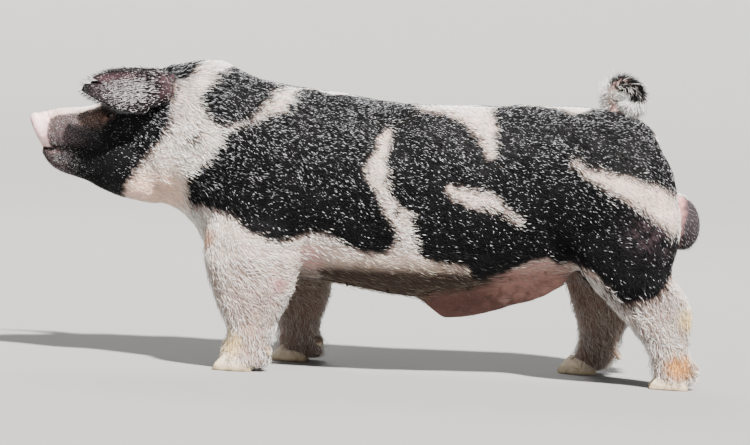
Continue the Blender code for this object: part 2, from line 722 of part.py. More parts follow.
def ear(name, side):
    """A leaf leaning forward over the eye, hollow towards the face, with its marking notches."""
    lengthwise, crosswise = 14, 8
    rows = smooth_rows(EAR, lengthwise + 1)
    upper, lower, bulge = rows[:, 1:4], rows[:, 4:7], rows[:, 7]
    ahead = np.gradient((upper + lower) / 2, axis=0)
    out = np.cross(ahead, upper - lower)
    out *= np.sign(out[:, 1:2]) / np.linalg.norm(out, axis=1)[:, None]
    points = {1: [], -1: []}
    for i, share in enumerate(rows[:, 0]):
        thickness = EAR_THICKNESS[1] + (EAR_THICKNESS[0] - EAR_THICKNESS[1]) * (1 - share) ** 2
        for j in range(crosswise + 1):
            t = 2 * j / crosswise - 1
            middle = (lower[i] + upper[i]) / 2 + (upper[i] - lower[i]) / 2 * t
            middle = middle + out[i] * bulge[i] * (1 - t * t)
            half = (EAR_THICKNESS[1] + (thickness - EAR_THICKNESS[1]) * (1 - t * t)) / 2
            for face in (1, -1):
                points[face].append(mirror_side(middle + out[i] * half * face, side))
    width = crosswise + 1
    count = (lengthwise + 1) * width
    faces = []
    for i in range(lengthwise):
        for j in range(crosswise):
            a, b = i * width + j, i * width + j + 1
            c, d = a + width + 1, a + width
            faces += [(a, b, c), (a, c, d)]
            faces += [(count + a, count + c, count + b), (count + a, count + d, count + c)]
    rim = list(range(width)) + [i * width + width - 1 for i in range(1, lengthwise + 1)]
    rim += [lengthwise * width + j for j in range(width - 2, -1, -1)]
    rim += [i * width for i in range(lengthwise - 1, 0, -1)]
    faces += [(a, b, count + b, count + a) for a, b in zip(rim, rim[1:] + rim[:1])]
    leaf = object_of(name, points[1] + points[-1], faces)
    for corners in EAR_NOTCHES:
        wedge = loft("wedge", [[Vector((x, side * y, z)) for x, z in corners] for y in (0.05, 0.16)])
        combine(leaf, wedge, "DIFFERENCE")
        discard(wedge)
    return leaf


def tail_path(steps):
    """Points at even steps along the tail's curl."""
    table = [(k, *knot) for k, knot in enumerate(TAIL_KNOTS)]
    return smooth_rows(table, steps)[:, 1:]


def tube(name, path, radii, sides):
    """A closed tube round a bent line, with its own radius at each point."""
    path = [Vector(p) for p in path]
    rings = []
    for k, centre in enumerate(path):
        ahead = (path[min(k + 1, len(path) - 1)] - path[max(k - 1, 0)]).normalized()
        side = Vector((0.0, 1.0, 0.0))
        side = (side - side.dot(ahead) * ahead).normalized()
        rise = ahead.cross(side)
        turns = [2 * math.pi * n / sides for n in range(sides)]
        rings.append([centre + (side * math.cos(t) + rise * math.sin(t)) * radii[k] for t in turns])
    return loft(name, rings)


def lock(name, root, heading, flat, droop, length, width):
    """A flat tapered lock of hair that bends as it leaves its root."""
    heading = heading.normalized()
    rings = []
    for t, share in ((0.0, 0.7), (0.35, 1.0), (0.7, 0.75), (1.0, 0.14)):
        centre = root + heading * (length * t) + droop * (length * 0.5 * t * t)
        ahead = (heading + droop * t).normalized()
        side = (flat - flat.dot(ahead) * ahead).normalized()
        thick = side.cross(ahead)
        wide, deep = side * (width / 2 * share), thick * (width / 5 * share)
        rings.append([centre + wide, centre + deep, centre - wide, centre - deep])
    return loft(name, rings)


def tail():
    """The curled tail with its long hair in locks: out and up along its rise, hanging from its arch."""
    steps = 20
    path = [Vector(p) for p in tail_path(steps)]
    radii = [TAIL_RADIUS * (1.35 - 0.8 * k / (steps - 1)) for k in range(steps)]
    core = tube("tail", path, radii, 10)
    draw = np.random.default_rng(7)
    locks = bpy.data.collections.new("tail_locks")
    bpy.context.scene.collection.children.link(locks)
    for n in range(TAIL_LEVELS * len(TAIL_TURNS)):
        level, place = divmod(n, len(TAIL_TURNS))
        share = 0.10 + 0.86 * (level + place / len(TAIL_TURNS)) / TAIL_LEVELS
        k = min(steps - 2, int(share * (steps - 1)))
        ahead = (path[k + 1] - path[k]).normalized()
        side = ahead.cross(Vector((0, 1, 0))).normalized()
        turn = math.radians(TAIL_TURNS[place] + draw.uniform(-14, 14))
        outward = side * math.cos(turn) + ahead.cross(side) * math.sin(turn)
        hanging = min(1.0, max(0.0, (share - 0.35) / 0.20))
        inner = abs(TAIL_TURNS[place]) > 90
        heading = outward * (0.85 - 0.35 * hanging) + ahead * (0.1 if inner else 0.75)
        heading.z -= hanging * (0.9 if inner else 0.15)
        droop = Vector((0.0, 0.0, -0.55 * hanging)) - outward * 0.15
        length = TAIL_HAIR * draw.uniform(0.88, 1.12) * (1.1 if inner else 1.3 - 0.6 * hanging)
        root = path[k] + outward * radii[k] * 0.45 - ahead * 0.006
        width = draw.uniform(*TAIL_LOCK_WIDTHS)
        piece = lock(f"lock_{n}", root, heading, ahead.cross(outward), droop, length, width)
        bpy.context.scene.collection.objects.unlink(piece)
        locks.objects.link(piece)
    joining = core.modifiers.new("locks", "BOOLEAN")
    joining.operation = "UNION"
    joining.operand_type = "COLLECTION"
    joining.collection = locks
    joining.solver = "MANIFOLD"
    bpy.context.view_layer.update()
    apply_modifiers(core)
    discard(*list(locks.objects))
    bpy.data.collections.remove(locks)
    return largest_piece(core)


def scrotum():
    """Two rounded lobes under one skin, with a cleft between them and a neck above."""
    centre, radii, turn = SAC_LOBE
    lobes = [ellipsoid("lobe", mirror_side(centre, side), radii, turn) for side in (-1, 1)]
    lobes.append(ellipsoid("sac_neck", *SAC_NECK))
    sac = fuse(lobes, SAC_VOXEL)
    relax(sac, 10, np.ones(len(sac.data.vertices)))
    step = sac.modifiers.new("thin", "DECIMATE")
    step.ratio = SAC_TRIANGLES / (2 * len(sac.data.polygons))
    return apply_modifiers(sac)


def finish_part(obj, name, colour, roughness):
    obj.name = name
    obj.data.name = name
    obj.data.materials.clear()
    obj.data.materials.append(material(*colour, roughness))
    return obj


def main():
    clear_scene()
    flesh = thin_out(flesh_form(), SKIN_TRIANGLES)

    for side in (-1, 1):
        for cutter in (eyeball("socket", side, EYE_RADIUS + GAP), opening_between_lids(side), nostril(side)):
            combine(flesh, cutter, "DIFFERENCE")
            discard(cutter)
    largest_piece(flesh)

    black, white = ("coat_black", BLACK_COAT), ("coat_white", WHITE_COAT)
    around = grown(flesh, ROUND_GAP)
    for name, made, colour in (
        ("ear_left", ear("ear_left", -1), black),
        ("ear_right", ear("ear_right", 1), black),
        ("tail", tail(), white),
        ("scrotum", scrotum(), ("bare_skin", PINK_SKIN)),
    ):
        combine(made, around, "DIFFERENCE")
        combine(largest_piece(made), flesh, "DIFFERENCE")
        finish_part(largest_piece(made), name, colour, 0.6)
    discard(around)

    for leg, claws in feet().items():
        end, hand = leg.split("_")
        side = -1 if hand == "left" else 1
        for piece in claws:
            fitting = grown(piece, GAP)
            combine(flesh, fitting, "DIFFERENCE")
            discard(fitting)
            finish_part(piece, piece.name, ("horn", HORN), 0.45)
        block = leg_block("leg_block", end, side, -GAP / 2)
        limb = combine(copy_of(flesh, "limb"), block, "INTERSECT")
        discard(block)
        finish_part(largest_piece(limb), f"leg_{leg}", white, 0.7)
    for end in ("fore", "hind"):
        for side in (-1, 1):
            block = leg_block("leg_block", end, side, GAP / 2)
            combine(flesh, block, "DIFFERENCE")
            discard(block)

    block = snout_block(-GAP / 2)
    snout = combine(copy_of(flesh, "snout"), block, "INTERSECT")
    finish_part(largest_piece(snout), "snout_disc", ("bare_skin", PINK_SKIN), 0.5)
    discard(block)
    block = snout_block(GAP / 2)
    combine(flesh, block, "DIFFERENCE")
    discard(block)

    for name, limits, colour in (
        ("head", ((HEAD_CUT, -1),), black),
        ("neck", ((HEAD_CUT, 1), (NECK_CUT, -1)), white),
        ("torso", ((NECK_CUT, 1),), black),
    ):
        piece = copy_of(flesh, name + "_form")
        for cut, sign in limits:
            block = half_space("keep", cut, sign)
            combine(piece, block, "INTERSECT")
            discard(block)
        finish_part(largest_piece(piece), name, colour, 0.7)
    discard(flesh)

    for hand, side in (("left", -1), ("right", 1)):
        finish_part(eyeball("eye", side, EYE_RADIUS), f"eye_{hand}", ("eye", DARK_EYE), 0.1)
    for obj in bpy.data.objects:
        obj.data.shade_smooth()
        obj.data.set_sharp_from_angle(angle=math.radians(50))


main()
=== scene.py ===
# %% [markdown]
# # A black and white boar, life size
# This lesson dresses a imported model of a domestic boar: one skin without seams, a coat of solid
# tufts, hooves, eyes, a pale floor and soft light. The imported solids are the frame. They carry
# the size and the contacts, and everything that is seen is built round them in the same metres.
# The animal faces -X, its left side is -Y and the floor is at Z = 0.

# %% Load the frame
import math

import bmesh
import bpy
import numpy as np
from mathutils import Matrix, Vector
from mathutils.bvhtree import BVHTree
from mathutils.kdtree import KDTree


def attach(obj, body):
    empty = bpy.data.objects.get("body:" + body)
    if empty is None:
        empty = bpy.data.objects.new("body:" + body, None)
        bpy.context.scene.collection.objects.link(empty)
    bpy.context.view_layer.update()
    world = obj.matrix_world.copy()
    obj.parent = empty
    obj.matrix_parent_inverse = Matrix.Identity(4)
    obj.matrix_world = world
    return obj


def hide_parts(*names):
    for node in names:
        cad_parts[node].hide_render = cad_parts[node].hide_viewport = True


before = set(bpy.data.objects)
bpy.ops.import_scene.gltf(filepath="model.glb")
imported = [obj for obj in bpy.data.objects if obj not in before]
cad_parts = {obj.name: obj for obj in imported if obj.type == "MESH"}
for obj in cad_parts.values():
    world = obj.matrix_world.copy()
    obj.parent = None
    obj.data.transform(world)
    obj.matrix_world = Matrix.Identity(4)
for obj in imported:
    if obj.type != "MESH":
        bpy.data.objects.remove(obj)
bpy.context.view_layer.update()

# %% [markdown]
# ## The camera
# The animal was seen square from its left side, from just above its back and a long way off, so
# that its two sides show the same size. A long lens keeps that. The camera is placed by the
# point it looks at, its angle, its distance and the width of what it frames.

# %% Camera
VIEW_TARGET = Vector((0.0275, 0.0, 0.333))
VIEW_ELEVATION = math.radians(4)
VIEW_ROLL = math.radians(2.6)
VIEW_DISTANCE = 8.0
VIEW_WIDTH = 1.689


def placed_camera():
    back = Vector((0.0, -math.cos(VIEW_ELEVATION), math.sin(VIEW_ELEVATION)))
    right = Vector((1.0, 0.0, 0.0))
    turn = Matrix.Rotation(VIEW_ROLL, 3, back)
    right, up = turn @ right, turn @ back.cross(right)
    camera = bpy.data.objects.new("camera", bpy.data.cameras.new("camera"))
    camera.matrix_world = (
        Matrix.Translation(VIEW_TARGET + back * VIEW_DISTANCE)
        @ Matrix((right, up, back)).transposed().to_4x4()
    )
    camera.data.sensor_width = 36
    camera.data.lens = camera.data.sensor_width * VIEW_DISTANCE / VIEW_WIDTH
    camera.data.clip_end = 100
    bpy.context.scene.collection.objects.link(camera)
    return camera


bpy.context.scene.camera = placed_camera()
print("lens", round(bpy.context.scene.camera.data.lens, 1), "mm")

# %% [markdown]
# ## The body's measures
# A body is easiest to state as a table of sections. Each row says where a section stands, how
# high and low it reaches, how wide it is and how square. The same tables shaped the solids, so
# the skin fits them. Here they are lofted more finely.

# %% Tables of the trunk, skull, jaw and sheath
# Each row: place along X, top, bottom, half width, height of the widest place, squareness
TRUNK = (
    (-0.540, 0.600, 0.380, 0.072, 0.480, 2.1),
    (-0.480, 0.652, 0.358, 0.100, 0.480, 2.1),
    (-0.430, 0.672, 0.348, 0.122, 0.480, 2.1),
    (-0.380, 0.681, 0.312, 0.144, 0.475, 2.2),
    (-0.350, 0.682, 0.264, 0.157, 0.465, 2.2),
    (-0.300, 0.669, 0.233, 0.168, 0.455, 2.3),
    (-0.250, 0.650, 0.214, 0.176, 0.445, 2.35),
    (-0.180, 0.637, 0.204, 0.181, 0.435, 2.4),
    (-0.080, 0.628, 0.194, 0.186, 0.420, 2.4),
    (0.020, 0.614, 0.178, 0.190, 0.405, 2.35),
    (0.120, 0.607, 0.168, 0.188, 0.405, 2.35),
    (0.220, 0.609, 0.180, 0.180, 0.415, 2.35),
    (0.320, 0.614, 0.204, 0.172, 0.430, 2.35),
    (0.420, 0.617, 0.232, 0.175, 0.440, 2.35),
    (0.520, 0.615, 0.250, 0.184, 0.440, 2.3),
    (0.590, 0.601, 0.262, 0.164, 0.430, 2.2),
    (0.640, 0.577, 0.275, 0.142, 0.420, 2.1),
    (0.678, 0.508, 0.290, 0.108, 0.400, 2.0),
    (0.706, 0.435, 0.330, 0.060, 0.380, 2.0),
)
SKULL = (
    (-0.732, 0.549, 0.478, 0.033, 0.507, 2.1),
    (-0.712, 0.554, 0.469, 0.036, 0.504, 2.2),
    (-0.680, 0.560, 0.456, 0.041, 0.502, 2.3),
    (-0.640, 0.565, 0.444, 0.047, 0.500, 2.4),
    (-0.605, 0.574, 0.430, 0.054, 0.500, 2.5),
    (-0.575, 0.592, 0.415, 0.062, 0.500, 2.4),
    (-0.540, 0.616, 0.400, 0.073, 0.495, 2.3),
    (-0.500, 0.643, 0.390, 0.084, 0.490, 2.2),
    (-0.450, 0.658, 0.380, 0.090, 0.490, 2.1),
)
JAW = (
    (-0.727, 0.473, 0.456, 0.017, 0.466, 2.0),
    (-0.718, 0.478, 0.441, 0.025, 0.464, 2.1),
    (-0.695, 0.482, 0.421, 0.031, 0.458, 2.2),
    (-0.670, 0.486, 0.411, 0.037, 0.452, 2.2),
    (-0.630, 0.490, 0.399, 0.048, 0.446, 2.2),
    (-0.580, 0.492, 0.376, 0.064, 0.440, 2.2),
    (-0.530, 0.492, 0.361, 0.078, 0.436, 2.2),
    (-0.470, 0.492, 0.352, 0.090, 0.440, 2.2),
)
SHEATH = (
    (0.138, 0.200, 0.160, 0.014, 0.180, 2.0),
    (0.155, 0.205, 0.147, 0.024, 0.180, 2.0),
    (0.175, 0.210, 0.131, 0.029, 0.175, 2.0),
    (0.192, 0.215, 0.121, 0.030, 0.170, 2.0),
    (0.230, 0.220, 0.124, 0.033, 0.175, 2.0),
    (0.290, 0.230, 0.139, 0.036, 0.190, 2.0),
    (0.360, 0.245, 0.161, 0.038, 0.210, 2.0),
    (0.420, 0.260, 0.184, 0.038, 0.235, 2.0),
    (0.470, 0.280, 0.215, 0.032, 0.250, 2.0),
)

# %% Tables of the legs, ears, tail and rounded masses
# Each leg row: height, front, back, distance out from the midline, half width
FORE_LEG = (
    (0.006, -0.280, -0.206, 0.127, 0.0290),
    (0.018, -0.298, -0.193, 0.127, 0.0360),
    (0.045, -0.298, -0.193, 0.127, 0.0385),
    (0.070, -0.294, -0.189, 0.127, 0.0385),
    (0.100, -0.300, -0.178, 0.127, 0.0420),
    (0.130, -0.314, -0.165, 0.127, 0.0470),
    (0.170, -0.330, -0.149, 0.127, 0.0540),
    (0.210, -0.344, -0.137, 0.126, 0.0600),
    (0.250, -0.352, -0.130, 0.124, 0.0620),
    (0.300, -0.350, -0.126, 0.120, 0.0600),
    (0.360, -0.330, -0.130, 0.112, 0.0520),
)
HIND_LEG = (
    (0.006, 0.685, 0.742, 0.120, 0.0290),
    (0.018, 0.664, 0.754, 0.120, 0.0360),
    (0.050, 0.654, 0.755, 0.120, 0.0380),
    (0.070, 0.645, 0.750, 0.120, 0.0370),
    (0.100, 0.626, 0.742, 0.120, 0.0380),
    (0.130, 0.599, 0.745, 0.121, 0.0420),
    (0.160, 0.569, 0.746, 0.122, 0.0480),
    (0.190, 0.540, 0.740, 0.123, 0.0560),
    (0.215, 0.515, 0.724, 0.123, 0.0640),
    (0.260, 0.480, 0.692, 0.120, 0.0740),
    (0.320, 0.472, 0.704, 0.114, 0.0810),
    (0.400, 0.490, 0.700, 0.104, 0.0780),
)
FORE_STRIDE = (0.121, -0.20)
HIND_STRIDE = (-0.190, 0.62)
TOE_TIPS = {"fore_left": -0.319, "fore_right": -0.198, "hind_left": 0.651, "hind_right": 0.461}
# Each ear row: share of its length, X Y Z of its upper and of its lower edge, how far it bulges
EAR = (
    (0.00, -0.430, 0.058, 0.640, -0.432, 0.094, 0.572, 0.018),
    (0.14, -0.456, 0.064, 0.650, -0.458, 0.108, 0.566, 0.024),
    (0.30, -0.493, 0.070, 0.653, -0.493, 0.118, 0.562, 0.022),
    (0.48, -0.530, 0.075, 0.652, -0.532, 0.124, 0.561, 0.017),
    (0.66, -0.566, 0.080, 0.649, -0.570, 0.124, 0.572, 0.012),
    (0.83, -0.600, 0.086, 0.640, -0.604, 0.119, 0.586, 0.008),
    (0.94, -0.622, 0.093, 0.626, -0.625, 0.113, 0.597, 0.004),
    (1.00, -0.633, 0.100, 0.614, -0.635, 0.108, 0.603, 0.001),
)
EAR_NOTCHES = (
    ((-0.583, 0.6205), (-0.650, 0.6470), (-0.650, 0.6190)),
    ((-0.482, 0.5830), (-0.491, 0.5450), (-0.472, 0.5450)),
)
# Each mass, on both sides: centre, radii, and a turn about Y in degrees
MASSES = (
    ((-0.215, 0.118, 0.430), (0.120, 0.070, 0.190), 12),
    ((-0.235, 0.130, 0.290), (0.105, 0.060, 0.090), -8),
    ((0.565, 0.098, 0.420), (0.135, 0.098, 0.165), -14),
    ((0.622, 0.100, 0.345), (0.088, 0.090, 0.120), 10),
    ((0.150, 0.085, 0.410), (0.260, 0.106, 0.195), 0),
    ((-0.500, 0.046, 0.438), (0.105, 0.044, 0.074), 20),
    ((-0.574, 0.036, 0.566), (0.042, 0.018, 0.019), -35),
    ((-0.552, 0.052, 0.518), (0.050, 0.016, 0.022), 15),
    ((-0.448, 0.070, 0.616), (0.042, 0.028, 0.042), 0),
)
TAIL_KNOTS = (
    (0.586, 0.000, 0.572),
    (0.560, 0.000, 0.604),
    (0.545, 0.000, 0.632),
    (0.549, -0.004, 0.655),
    (0.568, -0.010, 0.671),
    (0.590, -0.017, 0.666),
    (0.603, -0.023, 0.647),
    (0.598, -0.028, 0.628),
    (0.584, -0.031, 0.622),
)
TAIL_RADIUS = 0.0125
DISC_AT = Vector((-0.7335, 0.0, 0.5095))
DISC_LEAN = math.radians(26)
DISC_HALF_HEIGHT = 0.0405
DISC_HALF_WIDTH = 0.0390
DISC_THICKNESS = 0.024
NOSTRIL_APART = 0.0155
NOSTRIL_RADII = (0.0060, 0.0085)
EYE_RADIUS = 0.0125
EYE_AT = Vector((-0.566, 0.0485, 0.5495))
EYE_LOOK = Vector((-0.52, 0.83, 0.06)).normalized()
EYE_OPENING = (0.0118, 0.0056)
LIDS_AT = (-0.572, 0.058, 0.551)
SAC_AT = (0.713, 0.030, 0.364)
SAC_RADII = (0.0425, 0.037, 0.060)
print(len(TRUNK) + len(SKULL) + len(JAW) + len(SHEATH), "body sections")

# %% [markdown]
# ## Mesh helpers
# Most shapes here are rings of points joined into a closed skin. NumPy works on all the points
# of a mesh at once, which keeps a body of a hundred thousand points quick to bend. Blender gives
# and takes such arrays through `foreach_get` and `foreach_set`.

# %% Objects, copies and modifiers
def linked(name, data):
    """An object with this data, set into the scene."""
    obj = bpy.data.objects.new(name, data)
    bpy.context.scene.collection.objects.link(obj)
    return obj


def object_of(name, points, faces):
    """A mesh object with every face turned outwards."""
    mesh = bpy.data.meshes.new(name)
    mesh.from_pydata([tuple(point) for point in points], [], [tuple(face) for face in faces])
    shaped = bmesh.new()
    shaped.from_mesh(mesh)
    bmesh.ops.recalc_face_normals(shaped, faces=shaped.faces)
    shaped.to_mesh(mesh)
    shaped.free()
    return linked(name, mesh)


def apply_modifiers(obj):
    """Replaces the object's mesh by what its modifiers make of it."""
    graph = bpy.context.evaluated_depsgraph_get()
    made = bpy.data.meshes.new_from_object(obj.evaluated_get(graph))
    obj.modifiers.clear()
    obj.data = made
    return obj


def copy_of(obj, name):
    return linked(name, obj.data.copy())


def discard(*objects):
    for obj in objects:
        bpy.data.objects.remove(obj)


def combine(obj, other, operation, solver="MANIFOLD"):
    """Joins or cuts one closed form by another, and drops the other."""
    step = obj.modifiers.new("combine", "BOOLEAN")
    step.operation, step.solver, step.object = operation, solver, other
    bpy.context.view_layer.update()
    apply_modifiers(obj)
    discard(other)


def mirror_side(vector, side):
    return Vector((vector[0], vector[1] * side, vector[2]))


# %% Points and directions as arrays
def points_of(obj):
    places = np.empty(len(obj.data.vertices) * 3)
    obj.data.vertices.foreach_get("co", places)
    return places.reshape(-1, 3)


def normals_of(obj):
    directions = np.empty(len(obj.data.vertices) * 3)
    obj.data.vertex_normals.foreach_get("vector", directions)
    return directions.reshape(-1, 3)


def set_points(obj, places):
    obj.data.vertices.foreach_set("co", places.astype(np.float32).ravel())
    obj.data.update()


def unit(vectors):
    return vectors / np.maximum(np.linalg.norm(vectors, axis=-1, keepdims=True), 1e-9)


def ramp(values, low, high):
    """0 below the low value, 1 above the high one, and a smooth rise between."""
    t = np.clip((values - low) / (high - low), 0, 1)
    return t * t * (3 - 2 * t)


def mix(first, second, share):
    return first + (second - first) * share


def sway(places, length, seed, layers=3):
    """A smooth chance value from about -1 to 1 at each place, in waves of about this length."""
    draw = np.random.default_rng(seed)
    total = np.zeros(len(places))
    for layer in range(layers):
        for _ in range(6):
            direction = unit(draw.normal(size=3)) * (2 * math.pi * 1.9**layer / length)
            total += np.sin(places @ direction + draw.uniform(0, 2 * math.pi)) * 0.6**layer
    return total / 4.0


# %% Smoothing and pressing folds
def weigh(obj, name, weights, steps=20):
    """A vertex group that holds these weights."""
    group = obj.vertex_groups.new(name=name)
    levels = np.round(np.clip(weights, 0, 1) * steps).astype(int)
    for level in range(1, steps + 1):
        found = np.nonzero(levels == level)[0]
        if len(found):
            group.add(found.tolist(), level / steps, "REPLACE")
    return group


def relax(obj, rounds, weights):
    """Smooths the skin where the weights are high."""
    weigh(obj, "relax", weights)
    step = obj.modifiers.new("relax", "SMOOTH")
    step.factor, step.iterations, step.vertex_group = 0.5, rounds, "relax"
    apply_modifiers(obj)
    obj.vertex_groups.clear()


def calm_normals(obj, rounds):
    """The skin's directions, each evened out with its neighbours'."""
    pairs = np.empty(len(obj.data.edges) * 2, dtype=np.int32)
    obj.data.edges.foreach_get("vertices", pairs)
    first, second = pairs.reshape(-1, 2).T
    directions = normals_of(obj)
    for _ in range(rounds):
        spread = directions.copy()
        for axis in range(3):
            spread[:, axis] += np.bincount(first, directions[second, axis], len(directions))
            spread[:, axis] += np.bincount(second, directions[first, axis], len(directions))
        directions = unit(spread)
    return directions


def line_distance(places, path):
    """Distance of each point from a bent line, and how far along it the nearest place is."""
    path = np.asarray(path, float)
    best = np.full(len(places), np.inf)
    along = np.zeros(len(places))
    for k, (a, b) in enumerate(zip(path[:-1], path[1:])):
        run = b - a
        t = np.clip((places - a) @ run / (run @ run), 0, 1)
        away = np.linalg.norm(places - (a + t[:, None] * run), axis=1)
        nearer = away < best
        best = np.where(nearer, away, best)
        along = np.where(nearer, (k + t) / (len(path) - 1), along)
    return best, along


def folded(places):
    """The points with both sides of the body laid onto the right one."""
    return places * (1, 0, 1) + np.abs(places) * (0, 1, 0)


def press(obj, path, width, depth, directions):
    """Pushes the skin in along a bent line on both sides, or out where the depth is negative."""
    places = points_of(obj)
    away, along = line_distance(folded(places), path)
    ends = np.sqrt(np.clip(4 * along * (1 - along) + 0.15, 0, 1))
    set_points(obj, places - directions * (depth * np.exp(-((away / width) ** 2)) * ends)[:, None])


# %% Rings, lofts and balls
def smooth_rows(table, steps):
    """Rows at even steps of the first column, on a curve through the table with no overshoot."""
    table = np.asarray(table, float)
    place, values = table[:, 0], table[:, 1:]
    run = np.diff(place)[:, None]
    slope = np.diff(values, axis=0) / run
    same = slope[:-1] * slope[1:] > 0
    total = np.where(same, slope[:-1] + slope[1:], 1.0)
    tangent = np.vstack([slope[:1], np.where(same, 2 * slope[:-1] * slope[1:] / total, 0.0), slope[-1:]])
    at = np.linspace(place[0], place[-1], steps)
    i = np.clip(np.searchsorted(place, at, side="right") - 1, 0, len(run) - 1)
    s = (at - place[i])[:, None] / run[i]
    made = (
        (1 + 2 * s) * (1 - s) ** 2 * values[i]
        + s * (1 - s) ** 2 * run[i] * tangent[i]
        + s**2 * (3 - 2 * s) * values[i + 1]
        + s**2 * (s - 1) * run[i] * tangent[i + 1]
    )
    return np.column_stack([at, made])


def squared_circle(count, square):
    """Unit points round a circle that is squarer the higher the second number is."""
    turn = np.linspace(0, 2 * math.pi, count, endpoint=False)
    cosine, sine = np.cos(turn), np.sin(turn)
    power = 2 / square
    return np.sign(cosine) * np.abs(cosine) ** power, np.sign(sine) * np.abs(sine) ** power


def loft(name, rings):
    """Joins rings of equal count into one closed skin with flat ends."""
    rings = [np.asarray(ring) for ring in rings]
    count = len(rings[0])
    faces = [range(count), range((len(rings) - 1) * count, len(rings) * count)]
    for row in range(len(rings) - 1):
        for k in range(count):
            after = (k + 1) % count
            low, high = row * count, (row + 1) * count
            faces.append((low + k, low + after, high + after, high + k))
    return object_of(name, np.vstack(rings), faces)


def ellipsoid(name, centre, radii, turn=0.0, rings=24, segments=40):
    """A stretched ball, turned about Y."""
    shaped = bmesh.new()
    bmesh.ops.create_uvsphere(shaped, u_segments=segments, v_segments=rings, radius=1.0)
    place = Matrix.Translation(centre) @ Matrix.Rotation(math.radians(turn), 4, "Y")
    bmesh.ops.transform(shaped, matrix=place @ Matrix.Diagonal((*radii, 1.0)), verts=shaped.verts)
    mesh = bpy.data.meshes.new(name)
    shaped.to_mesh(mesh)
    shaped.free()
    return linked(name, mesh)


print("helpers ready")

# %% [markdown]
# ## The flesh
# Lofts and balls are laid through one another and fused by a voxel remesh, which wraps one even
# skin round all of them. Smoothing then melts the joins, as fat and muscle do. The creases are
# pressed in afterwards, along lines that are bent to the real folds.

# %% Blocks of the body
RING_POINTS = 56
VOXEL = 0.005
RING_STEP = 0.012


def body_loft(name, table):
    """A loft of upright sections, set along X by a body table."""
    steps = max(10, round((table[-1][0] - table[0][0]) / RING_STEP))
    rings = []
    for x, top, bottom, half_width, widest, square in smooth_rows(table, steps):
        across, rise = squared_circle(RING_POINTS, square)
        reach = np.where(rise > 0, top - widest, widest - bottom)
        rings.append(np.column_stack([np.full(RING_POINTS, x), half_width * across, widest + reach * rise]))
    return loft(name, rings)


def stride_at(z, side, stride):
    """How far back a leg's section stands: the right leg swings from its hip or shoulder."""
    swing = stride[0] + stride[1] * z
    return swing if side > 0 and swing * stride[0] > 0 else 0.0


def leg_loft(name, table, side, stride):
    rings = []
    for z, front, back, out, half_width in smooth_rows(table, 40):
        along, across = squared_circle(RING_POINTS, 2.2)
        x = (front + back) / 2 + stride_at(z, side, stride) + (back - front) / 2 * along
        rings.append(np.column_stack([x, side * out + half_width * across, np.full(RING_POINTS, z)]))
    return loft(name, rings)


def snout_disc():
    """The gristly disc at the end of the snout: a thick lens with a rolled rim."""
    half = DISC_THICKNESS / 2
    lean = Matrix.Rotation(-DISC_LEAN, 4, "Y")
    across, rise = squared_circle(RING_POINTS, 2.25)
    rings = []
    for angle in np.linspace(-math.pi / 2, math.pi / 2, 9):
        inset = half * (1 - math.cos(angle))
        wide, high = DISC_HALF_WIDTH - inset, DISC_HALF_HEIGHT - inset
        depth = half * math.sin(angle)
        rings.append([DISC_AT + lean @ Vector((depth, wide * a, high * r)) for a, r in zip(across, rise)])
    return loft("disc", rings)


def fuse(pieces, voxel):
    """One closed skin round all the pieces, which are then gone."""
    shaped = bmesh.new()
    for piece in pieces:
        shaped.from_mesh(piece.data)
    mesh = bpy.data.meshes.new("flesh")
    shaped.to_mesh(mesh)
    shaped.free()
    discard(*pieces)
    flesh = linked("flesh", mesh)
    remesh = flesh.modifiers.new("fuse", "REMESH")
    remesh.mode, remesh.voxel_size = "VOXEL", voxel
    return apply_modifiers(flesh)


def body_blocks():
    pieces = [body_loft("trunk", TRUNK), body_loft("skull", SKULL), body_loft("jaw", JAW)]
    pieces += [body_loft("sheath", SHEATH), snout_disc()]
    for side in (-1, 1):
        pieces.append(leg_loft("fore", FORE_LEG, side, FORE_STRIDE))
        pieces.append(leg_loft("hind", HIND_LEG, side, HIND_STRIDE))
        for centre, radii, turn in MASSES:
            pieces.append(ellipsoid("mass", mirror_side(centre, side), radii, turn))
    return pieces


flesh = fuse(body_blocks(), VOXEL)
print("fused flesh", len(flesh.data.polygons), "faces")

# %% [markdown]
# ### Folds
# A pig's folds are broad at the elbow, flank and ham and fine round the mouth and snout. A fold
# narrower than the mesh's own step breaks up, so the large ones come first, and the head is
# split into finer faces before the small ones.

# %% Large folds, and the depth of the coat
BACK_CREASE = ((-0.230, 0.0, 0.655), (0.020, 0.0, 0.615), (0.270, 0.0, 0.612), (0.500, 0.0, 0.615))
ELBOW_CREASE = ((-0.110, 0.185, 0.330), (-0.092, 0.175, 0.280), (-0.100, 0.160, 0.235), (-0.125, 0.145, 0.205))
FLANK_CREASE = ((0.410, 0.170, 0.360), (0.430, 0.160, 0.300), (0.470, 0.150, 0.245), (0.520, 0.140, 0.205))
HAM_CREASE = ((0.680, 0.0, 0.520), (0.710, 0.0, 0.440), (0.710, 0.0, 0.360), (0.690, 0.0, 0.280))
NECK_CREASES = (
    ((-0.452, 0.120, 0.600), (-0.438, 0.135, 0.520), (-0.430, 0.135, 0.440), (-0.432, 0.095, 0.370)),
    ((-0.400, 0.140, 0.610), (-0.385, 0.160, 0.520), (-0.372, 0.160, 0.430), (-0.372, 0.120, 0.340)),
)
KNEE_CREASES = (
    ((-0.300, 0.100, 0.118), (-0.298, 0.140, 0.112), (-0.250, 0.172, 0.106), (-0.195, 0.165, 0.100)),
    ((-0.306, 0.100, 0.150), (-0.300, 0.150, 0.146), (-0.250, 0.182, 0.136), (-0.180, 0.170, 0.128)),
)


